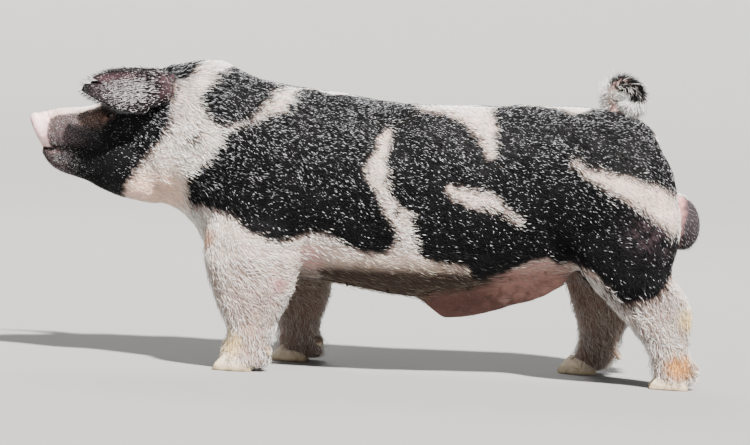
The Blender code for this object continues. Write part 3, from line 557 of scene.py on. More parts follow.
def coat_depth(places):
    """How far the skin lies under the tips of the coat."""
    x, y, z = places.T
    head = 1 - ramp(x, -0.56, -0.42)
    depth = mix(np.full(len(x), 0.0042), 0.0024, head)
    depth = mix(depth, 0.0004, 1 - ramp(x, -0.70, -0.62))
    legs = (1 - ramp(z, 0.16, 0.28)) * (1 - head) * (np.abs(y) > 0.05)
    depth = mix(depth, 0.0075, legs)
    depth = mix(depth, 0.0035, (1 - ramp(z, 0.02, 0.06)) * (1 - head))
    sheath = (x > 0.13) & (x < 0.46) & (z < 0.24) & (np.abs(y) < 0.06)
    depth = np.where(sheath, 0.0015, depth)
    lids = 1 - ramp(np.linalg.norm(folded(places) - LIDS_AT, axis=1), 0.016, 0.032)
    return mix(depth, -0.0012, lids)


def shape_body(flesh):
    behind_snout = ramp(points_of(flesh)[:, 0], -0.70, -0.64)
    above_foot = ramp(points_of(flesh)[:, 2], 0.03, 0.10)
    relax(flesh, 19, behind_snout * above_foot)
    relax(flesh, 22, ramp(points_of(flesh)[:, 0], -0.52, -0.44) * above_foot)
    relax(flesh, 2, np.ones(len(above_foot)))
    calm = calm_normals(flesh, 8)
    press(flesh, BACK_CREASE, 0.030, 0.004, calm)
    press(flesh, ELBOW_CREASE, 0.018, 0.008, calm)
    press(flesh, FLANK_CREASE, 0.026, 0.011, calm)
    press(flesh, HAM_CREASE, 0.026, 0.024, calm)
    for crease in NECK_CREASES:
        press(flesh, crease, 0.011, 0.0022, calm)
    for crease in KNEE_CREASES:
        press(flesh, crease, 0.007, 0.0022, calm)
    places = points_of(flesh)
    lumps = 0.0012 * sway(places, 0.11, 4) * ramp(places[:, 0], -0.60, -0.45)
    set_points(flesh, places + calm * (lumps - coat_depth(places))[:, None])


shape_body(flesh)
print("body shaped, skin", round(coat_depth(np.array([[0.1, 0.18, 0.4]]))[0] * 1000, 1), "mm under the coat")

# %% A finer face
FACE_ENDS = -0.455


def split_finer(obj, chosen):
    """Halves the edges of the chosen faces."""
    shaped = bmesh.new()
    shaped.from_mesh(obj.data)
    shaped.faces.ensure_lookup_table()
    edges = {edge for k in np.nonzero(chosen)[0] for edge in shaped.faces[k].edges}
    bmesh.ops.subdivide_edges(shaped, edges=list(edges), cuts=1, use_grid_fill=True)
    shaped.to_mesh(obj.data)
    shaped.free()


def face_centres(obj):
    centres = np.empty(len(obj.data.polygons) * 3)
    obj.data.polygons.foreach_get("center", centres)
    return centres.reshape(-1, 3)


split_finer(flesh, face_centres(flesh)[:, 0] < FACE_ENDS)
relax(flesh, 3, 1 - ramp(points_of(flesh)[:, 0], FACE_ENDS - 0.02, FACE_ENDS))
near_lids = np.linalg.norm(folded(face_centres(flesh)) - LIDS_AT, axis=1) < 0.034
split_finer(flesh, near_lids | (face_centres(flesh)[:, 0] < -0.632))
print("with the finer face", len(flesh.data.polygons), "faces")

# %% Small folds: lips, snout wrinkles and lids
MOUTH_LINE = ((-0.728, 0.004, 0.469), (-0.716, 0.026, 0.467), (-0.692, 0.036, 0.466), (-0.666, 0.042, 0.470),
              (-0.642, 0.048, 0.479), (-0.624, 0.052, 0.490))
UPPER_LIP = ((-0.722, 0.022, 0.478), (-0.696, 0.038, 0.477), (-0.670, 0.044, 0.481), (-0.644, 0.050, 0.491))
LOWER_LIP = ((-0.722, 0.020, 0.458), (-0.694, 0.034, 0.455), (-0.668, 0.040, 0.458), (-0.640, 0.048, 0.468))
DISC_CREASE = ((-0.722, 0.0, 0.552), (-0.716, 0.026, 0.545), (-0.706, 0.039, 0.526), (-0.697, 0.042, 0.500),
               (-0.694, 0.038, 0.482))
SNOUT_WRINKLES = tuple(
    tuple((x + 0.010 * k, y * (1 + 0.03 * k), z + 0.001 * k) for x, y, z in DISC_CREASE[:4]) for k in (1, 2, 3)
)
EYE_HOLLOW = ((-0.580, 0.060, 0.548), (-0.556, 0.064, 0.552))
LID_THICKNESS = 0.0021
# Each fold round the eye: height of its arc, half its length, its width and its depth
LID_FOLDS = ((0.0125, 0.0170, 0.0018, 0.0030), (0.0180, 0.0210, 0.0022, 0.0020), (-0.0115, 0.0165, 0.0018, 0.0028),
             (-0.0168, 0.0200, 0.0024, 0.0020), (0.0245, 0.0240, 0.0055, -0.0022))
CHEEK_FOLDS = (
    ((-0.612, 0.058, 0.535), (-0.600, 0.062, 0.520), (-0.580, 0.068, 0.508), (-0.556, 0.074, 0.502)),
    ((-0.606, 0.056, 0.548), (-0.598, 0.060, 0.533), (-0.583, 0.066, 0.522)),
    ((-0.640, 0.055, 0.500), (-0.622, 0.060, 0.480), (-0.600, 0.068, 0.462)),
)


def eye_axes():
    """Directions along the eye's opening, across it, and out of it, on the right side."""
    along = Vector((0.80, 0.50, 0.33))
    along = (along - along.dot(EYE_LOOK) * EYE_LOOK).normalized()
    up = EYE_LOOK.cross(along)
    return along, up if up.z > 0 else -up, EYE_LOOK


def lid_path(height, reach):
    """A lid's edge on the right side: an arc over the opening, or under it if negative."""
    along, up, look = eye_axes()
    path = []
    for t in np.linspace(-1, 1, 9):
        spot = along * (EYE_OPENING[0] * reach * t) + up * (height * (1 - t * t))
        out = math.sqrt((EYE_RADIUS + LID_THICKNESS) ** 2 - spot.length_squared)
        path.append(tuple(EYE_AT + spot + look * out))
    return path


def lid_fold(flesh, height, half_length, width, depth, directions):
    """Presses an arc into the skin round both eyes, measured as seen along the eye's look."""
    along, up, look = (np.array(axis) for axis in eye_axes())
    away = folded(points_of(flesh)) - np.array(EYE_AT)
    across = away @ along / half_length
    share = np.exp(-(((away @ up - height * (1 - across**2)) / width) ** 2))
    share *= (1 - ramp(np.abs(across), 0.70, 1.15)) * ramp(away @ look, 0.0, 0.006)
    share *= np.linalg.norm(away, axis=1) < 0.045
    set_points(flesh, points_of(flesh) - directions * (depth * share)[:, None])


def cover_eyes(flesh):
    """Keeps the skin in front of each eyeball a lid's thickness away from it."""
    places = points_of(flesh)
    for side in (-1, 1):
        away = places - np.array(mirror_side(EYE_AT, side))
        far = np.maximum(np.linalg.norm(away, axis=1, keepdims=True), 1e-6)
        ahead = ramp(away @ np.array(mirror_side(EYE_LOOK, side)) / far[:, 0], -0.1, 0.3)
        push = np.maximum(EYE_RADIUS + LID_THICKNESS - far, 0) * ahead[:, None]
        places = places + away / far * push
    set_points(flesh, places)


def shape_face(flesh):
    calm = calm_normals(flesh, 14)
    press(flesh, UPPER_LIP, 0.0075, -0.0026, calm)
    press(flesh, LOWER_LIP, 0.0075, -0.0026, calm)
    press(flesh, MOUTH_LINE, 0.0034, 0.0100, calm)
    press(flesh, DISC_CREASE, 0.0036, 0.0044, calm)
    for wrinkle in SNOUT_WRINKLES:
        press(flesh, wrinkle, 0.0024, 0.0017, calm)
    for fold in CHEEK_FOLDS:
        press(flesh, fold, 0.0038, 0.0024, calm)
    press(flesh, EYE_HOLLOW, 0.016, 0.0030, calm)
    cover_eyes(flesh)
    near_eyes = 1 - ramp(np.linalg.norm(folded(points_of(flesh)) - np.array(EYE_AT), axis=1), 0.018, 0.028)
    relax(flesh, 5, near_eyes)
    for fold in LID_FOLDS:
        lid_fold(flesh, *fold, calm)
    cover_eyes(flesh)


shape_face(flesh)
print("face folds pressed in")

# %% [markdown]
# ### Eyes and nostrils are openings
# Lids only look right when they close over a ball that sits in a socket. So a ball and a narrow
# spindle are cut out of the flesh, and the eyeball is set in later. The nostrils are cut in the
# same way, by a form that narrows inwards, so that they turn in.

# %% Cut the sockets and the nostrils
def lid_opening(side):
    along, up, look = (mirror_side(v, side) for v in eye_axes())
    across, rise = squared_circle(28, 1.7)
    rings = []
    for depth in (0.004, 0.030):
        middle = mirror_side(EYE_AT, side) + look * depth
        rings.append([middle + along * (EYE_OPENING[0] * a) + up * (EYE_OPENING[1] * r) for a, r in zip(across, rise)])
    return loft("lid_opening", rings)


def nostril(side):
    lean = Matrix.Rotation(-DISC_LEAN, 4, "Y")
    across, rise = squared_circle(26, 2.0)
    rings = []
    for depth, share in ((-0.02, 1.12), (0.0, 1.0), (0.008, 0.86), (0.020, 0.45)):
        ring = []
        for a, r in zip(across, rise):
            tilt = side * 0.20 * r * NOSTRIL_RADII[1]
            out = side * NOSTRIL_APART + share * (NOSTRIL_RADII[0] * a - tilt)
            ring.append(Vector((depth, out, NOSTRIL_RADII[1] * share * r)))
        rings.append([DISC_AT + lean @ point for point in ring])
    return loft("nostril", rings)


for side in (-1, 1):
    combine(flesh, ellipsoid("socket", mirror_side(EYE_AT, side), (EYE_RADIUS + 0.0004,) * 3), "DIFFERENCE")
    combine(flesh, lid_opening(side), "DIFFERENCE")
    combine(flesh, nostril(side), "DIFFERENCE")
print("openings cut", len(flesh.data.polygons), "faces")

# %% [markdown]
# ### Ears, scrotum and tail grow out of the skin
# Each of these is a closed form of its own, whose root is sunk into the body. A Boolean union
# makes them one skin with it, and smoothing the seam gives the small fillet of real skin there.

# %% Ear leaves
EAR_LENGTHWISE, EAR_CROSSWISE = 64, 30
EAR_THICKNESS = (0.0085, 0.0032)


def ear_frame():
    """For each row along the right ear: its share, edges, bulge and outward direction."""
    rows = smooth_rows(EAR, EAR_LENGTHWISE + 1)
    upper, lower, bulge = rows[:, 1:4], rows[:, 4:7], rows[:, 7]
    lower[:, 2] += 0.015 * (1 - ramp(rows[:, 0], 0.22, 0.30))
    ahead = np.gradient((upper + lower) / 2, axis=0)
    out = np.cross(ahead, upper - lower)
    out *= np.sign(out[:, 1:2])
    return rows[:, 0], upper, lower, bulge, unit(out)


def ear_points(side, inset=0.0):
    """The leaf's outer and inner sheets as arrays: rows along it, columns from lower to upper edge."""
    share, upper, lower, bulge, out = ear_frame()
    t = np.linspace(-1 + inset, 1 - inset, EAR_CROSSWISE + 1)[None, :, None]
    s = share[:, None, None]
    upper, lower, out = upper[:, None], lower[:, None], out[:, None]
    middle = (lower + upper) / 2 + (upper - lower) / 2 * t
    dome = bulge[:, None, None] * (1 - t * t)
    beside = ((s - 0.36) * 0.2 * 0.78 + (t - 0.22) * 0.042 * 0.62) / 0.0048
    fold = 0.0040 * np.exp(-(beside**2)) * ramp(s, 0.25, 0.36) * (1 - ramp(t, 0.10, 0.45))
    rim = 0.0030 * np.exp(-(((t + 0.97) / 0.10) ** 2)) * ramp(s, 0.05, 0.25)
    veins = 0.0006 * np.sin(9 * t + 5 * s) * np.sin(7 * s + 1)
    middle = middle + out * (dome - fold + rim + veins)
    root, edge = EAR_THICKNESS
    half = (edge + (root - edge) * (1 - s) ** 2 * (1 - t * t)) / 2
    sheets = [middle + out * half, middle - out * half]
    return [sheet * (1, side, 1) for sheet in sheets]


def ear(side):
    outer, inner = ear_points(side)
    width = EAR_CROSSWISE + 1
    count = (EAR_LENGTHWISE + 1) * width
    faces = []
    for i in range(EAR_LENGTHWISE):
        for j in range(EAR_CROSSWISE):
            a = i * width + j
            faces += [(a, a + 1, a + width + 1, a + width)]
            faces += [tuple(count + k for k in (a, a + width, a + width + 1, a + 1))]
    rim = list(range(width)) + [i * width + width - 1 for i in range(1, EAR_LENGTHWISE + 1)]
    rim += [EAR_LENGTHWISE * width + j for j in range(width - 2, -1, -1)]
    rim += [i * width for i in range(EAR_LENGTHWISE - 1, 0, -1)]
    faces += [(a, b, count + b, count + a) for a, b in zip(rim, rim[1:] + rim[:1])]
    leaf = object_of("ear", np.vstack([outer.reshape(-1, 3), inner.reshape(-1, 3)]), faces)
    for corners in EAR_NOTCHES:
        wedge = loft("wedge", [[Vector((x, side * y, z)) for x, z in corners] for y in (0.05, 0.16)])
        combine(leaf, wedge, "DIFFERENCE", "EXACT")
    return leaf


# %% Tail core and scrotum
def tail_path(steps):
    return smooth_rows([(k, *knot) for k, knot in enumerate(TAIL_KNOTS)], steps)[:, 1:]


def tube(name, path, radii, sides):
    """A closed tube round a bent line, with its own radius at each point."""
    path = [Vector(p) for p in path]
    rings = []
    for k, centre in enumerate(path):
        ahead = (path[min(k + 1, len(path) - 1)] - path[max(k - 1, 0)]).normalized()
        side = Vector((0.0, 1.0, 0.0))
        side = (side - side.dot(ahead) * ahead).normalized()
        rise = ahead.cross(side)
        turns = [2 * math.pi * n / sides for n in range(sides)]
        rings.append([centre + (side * math.cos(t) + rise * math.sin(t)) * radii[k] for t in turns])
    return loft(name, rings)


def tail_core(steps=48):
    shares = np.arange(steps) / (steps - 1)
    return tube("tail", tail_path(steps), TAIL_RADIUS * (1.30 - 0.85 * shares), 20)


def scrotum():
    """Two rounded lobes under one skin, with a cleft between them and a neck above."""
    lobes = [ellipsoid("lobe", mirror_side(SAC_AT, side), SAC_RADII, -8) for side in (-1, 1)]
    lobes.append(ellipsoid("sac_neck", (0.704, 0.0, 0.392), (0.034, 0.046, 0.036), -20))
    sac = fuse(lobes, 0.003)
    relax(sac, 16, np.ones(len(sac.data.vertices)))
    return sac


ear_sheets = {side: ear_points(side) for side in (-1, 1)}
rooted = [ear(-1), ear(1), tail_core(), scrotum()]
rooted_points = [vertex.co for form in rooted for vertex in form.data.vertices]
rooted_tree = KDTree(len(rooted_points))
for number, point in enumerate(rooted_points):
    rooted_tree.insert(point, number)
rooted_tree.balance()
body_only = BVHTree.FromPolygons(
    [v.co.copy() for v in flesh.data.vertices], [tuple(p.vertices) for p in flesh.data.polygons]
)
for form in rooted:
    combine(flesh, form, "UNION")
print("one skin", len(flesh.data.polygons), "faces")

# %% Teats, and a soft seam at every root
TEATS = ((-0.02, 0.062), (0.07, 0.066), (0.16, 0.068), (0.25, 0.070), (0.34, 0.066), (0.42, 0.058))
SEAM = 0.009

for along, out in TEATS:
    for side in (-1, 1):
        spot, _, _, _ = body_only.ray_cast(Vector((along + 0.008 * side, side * out, 0.0)), Vector((0, 0, 1)))
        combine(flesh, ellipsoid("teat", spot + Vector((0, 0, -0.002)), (0.0042, 0.0042, 0.0075), 0, 10, 14), "UNION")

seam_weights = np.zeros(len(flesh.data.vertices))
for number, vertex in enumerate(flesh.data.vertices):
    from_root = rooted_tree.find(vertex.co)[2]
    if from_root < SEAM:
        from_body = body_only.find_nearest(vertex.co, SEAM)[3]
        if from_body is not None:
            seam_weights[number] = 1 - ramp(max(from_root, from_body), SEAM * 0.35, SEAM)
relax(flesh, 6, seam_weights)
skin = flesh
skin.name = "skin"
skin.data.polygons.foreach_set("use_smooth", [True] * len(skin.data.polygons))
print("seams softened at", int((seam_weights > 0).sum()), "points")

# %% [markdown]
# ## The markings
# A pied coat is white skin with white hair and dark skin with black hair, and the border between
# them is ragged by a hair's length. The patches are written as plain measures: bands by their
# edges at each height, strokes by a bent line with a width, and the black saddle by its lower
# edge. One function tells for any place how deep it lies in white, and skin and hair both ask it.

# %% Tables of the white patches, left side
# Bands: height, front edge and rear edge. Strokes: place along X, height, half width
NECK_BAND = (
    (0.354, -0.550, -0.383), (0.383, -0.536, -0.396), (0.408, -0.524, -0.397), (0.433, -0.511, -0.391),
    (0.457, -0.491, -0.351), (0.482, -0.472, -0.339), (0.506, -0.457, -0.319), (0.531, -0.444, -0.319),
    (0.556, -0.432, -0.352), (0.580, -0.430, -0.371), (0.605, -0.428, -0.373), (0.629, -0.425, -0.354),
    (0.654, -0.388, -0.339), (0.679, -0.378, -0.309),
)
SIDE_STRIPE = (
    (0.255, 0.030, 0.157), (0.275, 0.059, 0.130), (0.294, 0.071, 0.118), (0.314, 0.072, 0.113),
    (0.333, 0.069, 0.108), (0.353, 0.059, 0.104), (0.370, 0.045, 0.110), (0.382, 0.036, 0.079),
    (0.402, 0.032, 0.059), (0.421, 0.018, 0.052), (0.441, 0.001, 0.046), (0.460, 0.003, 0.047),
    (0.485, 0.010, 0.046), (0.509, 0.026, 0.053), (0.529, 0.022, 0.049), (0.548, 0.040, 0.049),
)
BRANCH = ((-0.337, 0.530, 0.012), (-0.300, 0.540, 0.003), (-0.262, 0.554, -0.003), (-0.226, 0.576, 0.008),
          (-0.196, 0.600, 0.018), (-0.176, 0.622, 0.012))
LOIN = ((0.114, 0.612, 0.014), (0.178, 0.608, 0.020), (0.241, 0.598, 0.032), (0.258, 0.562, 0.026),
        (0.268, 0.528, 0.015), (0.278, 0.499, 0.004))
FLANK = ((0.186, 0.426, 0.006), (0.211, 0.416, 0.014), (0.240, 0.406, 0.018), (0.269, 0.406, 0.017),
         (0.294, 0.393, 0.010), (0.328, 0.374, 0.006), (0.343, 0.362, 0.003))
HAM = ((0.460, 0.497, 0.003), (0.489, 0.475, 0.011), (0.538, 0.458, 0.014), (0.572, 0.444, 0.021),
       (0.612, 0.429, 0.027), (0.651, 0.413, 0.032), (0.680, 0.399, 0.036), (0.700, 0.387, 0.040))
THIGH_EDGE = ((0.453, 0.262, 0.006), (0.492, 0.251, 0.011), (0.522, 0.233, 0.012), (0.544, 0.209, 0.010),
              (0.566, 0.182, 0.016))
SADDLE_EDGE = (
    (-0.760, 0.340), (-0.600, 0.352), (-0.400, 0.352), (-0.352, 0.363), (-0.293, 0.346), (-0.244, 0.308),
    (-0.195, 0.289), (-0.161, 0.295), (-0.137, 0.310), (-0.097, 0.318), (-0.073, 0.312), (-0.029, 0.287),
    (0.001, 0.275), (0.050, 0.273), (0.126, 0.259), (0.197, 0.256), (0.236, 0.251), (0.250, 0.228),
    (0.265, 0.220), (0.309, 0.235), (0.348, 0.253), (0.378, 0.271), (0.412, 0.275), (0.446, 0.263),
    (0.490, 0.245), (0.546, 0.197), (0.573, 0.189), (0.621, 0.195), (0.649, 0.204), (0.669, 0.224),
    (0.685, 0.251), (0.698, 0.273), (0.760, 0.300),
)
NOSE_EDGE = ((-0.740, 0.528), (-0.716, 0.532), (-0.696, 0.545), (-0.647, 0.551), (-0.617, 0.559),
             (-0.597, 0.570), (-0.577, 0.592), (-0.550, 0.625), (-0.500, 0.760))
SPINE_LINES = ((-0.160, -0.035, 0.046), (0.380, 0.495, 0.056))

# %% Tables of the white patches, right side
RIGHT_BAND = (
    (0.354, -0.540, -0.372), (0.400, -0.520, -0.380), (0.440, -0.500, -0.372), (0.480, -0.470, -0.345),
    (0.520, -0.452, -0.330), (0.560, -0.440, -0.345), (0.600, -0.425, -0.350), (0.640, -0.400, -0.345),
    (0.679, -0.378, -0.309),
)
RIGHT_LOIN = ((0.120, 0.612, 0.012), (0.190, 0.604, 0.020), (0.235, 0.575, 0.026), (0.225, 0.530, 0.020),
              (0.205, 0.490, 0.010))
RIGHT_SHOULDER = ((-0.200, 0.330, 0.030), (-0.185, 0.375, 0.020), (-0.190, 0.420, 0.014), (-0.210, 0.455, 0.005))
RIGHT_FLANK = ((0.100, 0.262, 0.040), (0.120, 0.310, 0.030), (0.150, 0.360, 0.018), (0.160, 0.400, 0.012),
               (0.150, 0.440, 0.004))
RIGHT_HAM = ((0.500, 0.520, 0.004), (0.545, 0.490, 0.014), (0.590, 0.460, 0.026), (0.640, 0.430, 0.030),
             (0.700, 0.395, 0.036))
print(len(SADDLE_EDGE), "points in the saddle's edge")


# %% How deep a place lies in white
def in_band(places, table, open_ended):
    """Depth inside a band whose two edges are given at each height."""
    x, _, z = places.T
    height, front, rear = np.array(table).T
    depth = np.minimum(x - np.interp(z, height, front), np.interp(z, height, rear) - x)
    return depth if open_ended else np.minimum(depth, height[-1] - z)


def in_stroke(places, stroke):
    """Depth inside a bent line with a changing half width, seen from the side."""
    flat = places[:, [0, 2]]
    depth = np.full(len(places), -1.0)
    for first, second in zip(stroke[:-1], stroke[1:]):
        a, b = np.array(first[:2]), np.array(second[:2])
        run = b - a
        t = np.clip((flat - a) @ run / (run @ run), 0, 1)
        away = np.linalg.norm(flat - (a + t[:, None] * run), axis=1)
        depth = np.maximum(depth, mix(first[2], second[2], t) - away)
    return depth


def under_edge(places, edge):
    x, height = np.array(edge).T
    return np.interp(places[:, 0], x, height) - places[:, 2]


def spine_depth(places):
    """Two thin lines of white hair along the middle of the back, and one between the hams."""
    x, y, z = places.T
    depth = np.full(len(x), -1.0)
    for start, end, reach in SPINE_LINES:
        u = (2 * x - start - end) / (end - start)
        round_end = np.sqrt(np.maximum(0, 1 - u * u))
        drift = y + 0.012 * np.sin(x * 31)
        half_width = np.where(y < 0, reach, 0.026) * round_end * (1 + 0.3 * np.sin(x * 57))
        depth = np.maximum(depth, half_width - np.abs(drift))
    between_hams = np.minimum(0.040 - np.abs(y), ramp(x, 0.63, 0.66) * 0.06 - 0.02)
    return np.maximum(np.where(z > 0.5, depth, -1.0), between_hams)


def white_depth(places):
    """Metres inside the white, or outside it where negative, before its edge is roughened."""
    common = np.maximum.reduce([under_edge(places, SADDLE_EDGE), spine_depth(places),
                                -under_edge(places, NOSE_EDGE)])
    left = np.maximum(in_band(places, NECK_BAND, True), in_band(places, SIDE_STRIPE, False))
    for stroke in (BRANCH, LOIN, FLANK, HAM, THIGH_EDGE):
        left = np.maximum(left, in_stroke(places, stroke))
    left = np.minimum(left, np.hypot(places[:, 0] + 0.379, places[:, 2] - 0.512) - 0.010)
    left = np.minimum(left, np.hypot(places[:, 0] - 0.066, places[:, 2] - 0.369) - 0.009)
    right = in_band(places, RIGHT_BAND, True)
    for stroke in (RIGHT_LOIN, RIGHT_SHOULDER, RIGHT_FLANK, RIGHT_HAM):
        right = np.maximum(right, in_stroke(places, stroke))
    depth = np.maximum(common, mix(left, right, ramp(places[:, 1], -0.03, 0.03)))
    rough = 0.0045 * sway(places, 0.055, 11) + 0.0030 * sway(places, 0.020, 12)
    calm_nose = ramp(places[:, 0], -0.66, -0.56)
    return depth + rough * mix(0.4, 1.0, calm_nose)


def fuzz(places):
    """How far, in metres, black and white hair mingle at an edge."""
    soft = np.maximum(in_stroke(places, BRANCH), in_stroke(places, HAM)) > -0.035
    head = 1 - ramp(places[:, 0], -0.64, -0.57)
    return mix(np.where(soft & (places[:, 1] < 0), 0.009, 0.0070), 0.0028, head)


print("depth at the neck band", white_depth(np.array([[-0.42, -0.12, 0.45]])).round(3))

# %% [markdown]
# ## Regions of the hide
# Hair is dense on the back, thin on the throat, belly and hams, and missing on the snout's disc
# and nearly all of the sheath. Each region is a smooth share from 0 to 1 worked out from the place
# alone, so that the skin's colour, the bump and the coat agree with one another.

# %% Nearest places on the ears and the tail
ear_tree = KDTree(sum(sheet.size // 3 for sheets in ear_sheets.values() for sheet in sheets))
ear_facts = []
for side, sheets in ear_sheets.items():
    for inside, sheet in enumerate(sheets):
        rows, columns = sheet.shape[:2]
        for k, point in enumerate(sheet.reshape(-1, 3)):
            ear_tree.insert(point, len(ear_facts))
            row, column = divmod(k, columns)
            ear_facts.append((row / (rows - 1), 2 * column / (columns - 1) - 1, inside))
ear_tree.balance()
ear_facts = np.array(ear_facts)
TAIL_LINE = tail_path(64)


def ear_place(places):
    """Share of being on an ear, how far along it, how far across it, and inside or outside."""
    share = np.zeros(len(places))
    facts = np.zeros((len(places), 3))
    x, y, z = places.T
    near = np.nonzero((x < -0.42) & (x > -0.66) & (z > 0.54) & (np.abs(y) > 0.05))[0]
    for k in near:
        _, number, away = ear_tree.find(places[k])
        if away < 0.006:
            facts[k] = ear_facts[number]
            share[k] = 1 - max(0.0, away - 0.003) / 0.003
    share *= ramp(facts[:, 0], 0.02, 0.10)
    return share, facts[:, 0], facts[:, 1], facts[:, 2]


# %% The regions
def sac_share(places):
    share = np.zeros(len(places))
    for side in (-1, 1):
        offset = (places - (SAC_AT[0], side * SAC_AT[1], SAC_AT[2])) / SAC_RADII
        share = np.maximum(share, 1 - ramp(np.linalg.norm(offset, axis=1), 1.04, 1.16))
    return share * ramp(places[:, 0], 0.682, 0.700)


def fore_leg_end(y):
    """How far back the fore leg reaches: the right one is set further back."""
    return np.where(y > 0, -0.035, -0.100)


def regions(places):
    """Every region's share at each place."""
    x, y, z = places.T
    wide = np.abs(y)
    made = {}
    made["ear"], made["ear_along"], made["ear_across"], made["ear_inside"] = ear_place(places)
    round_rim = 0.006 * np.minimum(((z - 0.507) / 0.030) ** 2, 2.0)
    made["off_disc"] = x + 0.715 - round_rim + 0.0022 * sway(places, 0.022, 91)
    made["disc"] = (1 - ramp(made["off_disc"], -0.004, 0.005)) * ramp(z, 0.469, 0.474)
    made["head"] = 1 - ramp(x, -0.50, -0.43)
    made["sac"] = sac_share(places)
    away, along = line_distance(places, TAIL_LINE)
    made["tail"] = (1 - ramp(away, 0.016, 0.024)) * ramp(z, 0.585, 0.600)
    made["tail_along"] = along
    made["leg"] = (1 - ramp(z, 0.20, 0.30)) * ramp(wide, 0.04, 0.07) * ((x < fore_leg_end(y)) | (x > 0.43))
    # The legs' inner faces, which are painted darker: painted shade between the legs, away from the light
    made["inner"] = made["leg"] * (1 - ramp(wide, 0.088, 0.122))
    made["sheath"] = ramp(x, 0.12, 0.16) * (1 - ramp(x, 0.44, 0.50)) * (1 - ramp(z, 0.205, 0.240))
    made["sheath"] *= 1 - ramp(wide, 0.045, 0.075)
    below_black = ramp(under_edge(places, SADDLE_EDGE), -0.003, 0.005)
    made["groin"] = ramp(x, 0.27, 0.33) * (1 - ramp(x, 0.47, 0.50)) * below_black
    made["elbow"] = (1 - ramp(np.hypot(x + 0.112, z - 0.257), 0.012, 0.046)) * (wide > 0.06)
    made["belly"] = (1 - ramp(z, 0.226, 0.260)) * ramp(x, -0.36, -0.25) * (1 - ramp(x, 0.46, 0.56)) * (1 - made["leg"])
    made["strip"] = (1 - ramp(z, 0.252, 0.284)) * ramp(x, -0.16, -0.06) * (1 - ramp(x, 0.24, 0.32)) * (1 - made["leg"])
    made["throat"] = 1 - ramp(np.hypot((x + 0.464) * 0.8, (z - 0.385) * 1.2), 0.030, 0.085)
    made["ham"] = 1 - ramp(np.abs(in_stroke(places, tuple((a, b - 0.012, 0.0) for a, b, _ in HAM))), 0.012, 0.034)
    eye = folded(places) - np.array(EYE_AT + EYE_LOOK * EYE_RADIUS)
    made["eye"] = 1 - ramp(np.linalg.norm(eye, axis=1), 0.009, 0.017)
    made["eye_corner"] = np.exp(-(np.linalg.norm(eye - (-0.0135, 0.0, -0.0085), axis=1) / 0.0065) ** 2)
    made["rear"] = ramp(x, 0.58, 0.70)
    made["muzzle"] = (1 - ramp(x, -0.690, -0.590)) * (1 - made["disc"])
    made["chin"] = (1 - ramp(x, -0.690, -0.640)) * (1 - ramp(z, 0.455, 0.478)) * (1 - made["disc"])
    made["brow"] = (1 - ramp(np.hypot((x + 0.615) * 0.8, (z - 0.538) * 1.6), 0.008, 0.034))
    made["mauve"] = 1 - ramp(np.hypot((x - 0.645) * 0.9, z - 0.350), 0.020, 0.085)
    made["lips"] = 1 - ramp(line_distance(folded(places), MOUTH_LINE)[0], 0.004, 0.012)
    return made


def bareness(area):
    """How bare the hide is: 1 where no hair grows."""
    return np.clip(np.maximum.reduce([
        area["disc"], area["sheath"] * 0.95, area["throat"] * 0.35, area["belly"] * 0.55, area["groin"] * 0.80,
        area["mauve"] * 0.25, area["elbow"] * 0.45,
        area["sac"] * 0.80, area["ham"] * 0.20, area["eye"] * 0.7, area["eye_corner"] * 0.6, area["lips"] * 0.80,
    ]), 0, 1)


print("regions:", len(regions(np.zeros((1, 3)))))

# %% [markdown]
# ## Colours of skin and hair
# The colours are stored on the meshes as attributes, one colour for each point, and the materials
# read them and add the fine detail. An attribute follows the surface through every view and into
# an exported model, which a picture projected from the camera wouldn't.

# %% Palette and stains
BLACK_SKIN = (0.0032, 0.0030, 0.0033)
# The pink skin is painted darker than its own pinkish white: painted shade under the white hair, where it shows between
# the tufts
SHADED_PINK_SKIN = (0.540, 0.400, 0.345)
THROAT_SKIN = (0.880, 0.590, 0.470)
# The belly colour is partly dark skin and partly painted shade under the body
BELLY_SKIN_AND_SHADE = (0.034, 0.021, 0.016)
# The sheath colour is partly its own brown and partly painted shade on the underside
SHEATH_SKIN_AND_SHADE = (0.100, 0.050, 0.041)
DISC_SKIN = (0.740, 0.530, 0.515)
SAC_SKIN = (0.026, 0.020, 0.023)
EAR_SKIN = (0.018, 0.011, 0.013)
MAUVE_SKIN = (0.045, 0.027, 0.033)
MUZZLE_SKIN = (0.040, 0.025, 0.025)
# The leg skin is painted darker too: painted shade in the gaps between the leg hair
SHADED_LEG_SKIN = (0.300, 0.200, 0.168)
BLACK_HAIR = (0.0022, 0.0022, 0.0026)
# GLINT_HAIR is a painted highlight: the bright colour of sun glints on the black bristles
GLINT_HAIR = (0.800, 0.800, 0.840)
WHITE_HAIR = (0.940, 0.910, 0.865)
GREY_HAIR = (0.330, 0.310, 0.310)
# Each stain or darker patch: place, radius, colour, strength; on the left side
STAINS = (
    ((-0.344, -0.13, 0.299), 0.028, (0.34, 0.18, 0.11), 0.8),
    ((-0.181, -0.17, 0.199), 0.018, (0.40, 0.22, 0.22), 0.8),
    ((0.727, -0.13, 0.165), 0.030, (0.66, 0.50, 0.24), 0.85),
    ((0.712, -0.13, 0.056), 0.034, (0.56, 0.27, 0.09), 0.95),
    ((-0.282, -0.14, 0.064), 0.032, (0.74, 0.54, 0.26), 0.75),
    ((-0.240, -0.16, 0.103), 0.022, (0.60, 0.38, 0.28), 0.4),
    # This row darkens the middle of the near forearm to a broad brown-mauve
    ((-0.238, -0.18, 0.160), 0.048, (0.40, 0.28, 0.24), 0.5),
)


def tint(base, colour, share):
    return mix(base, np.array(colour), share[:, None])


def stained(colours, places):
    for centre, radius, colour, strength in STAINS:
        away = np.linalg.norm((places - np.array(centre)) * (1, 0.5, 1), axis=1)
        colours = tint(colours, colour, strength * (1 - ramp(away, radius * 0.4, radius * 1.3)))
    return colours


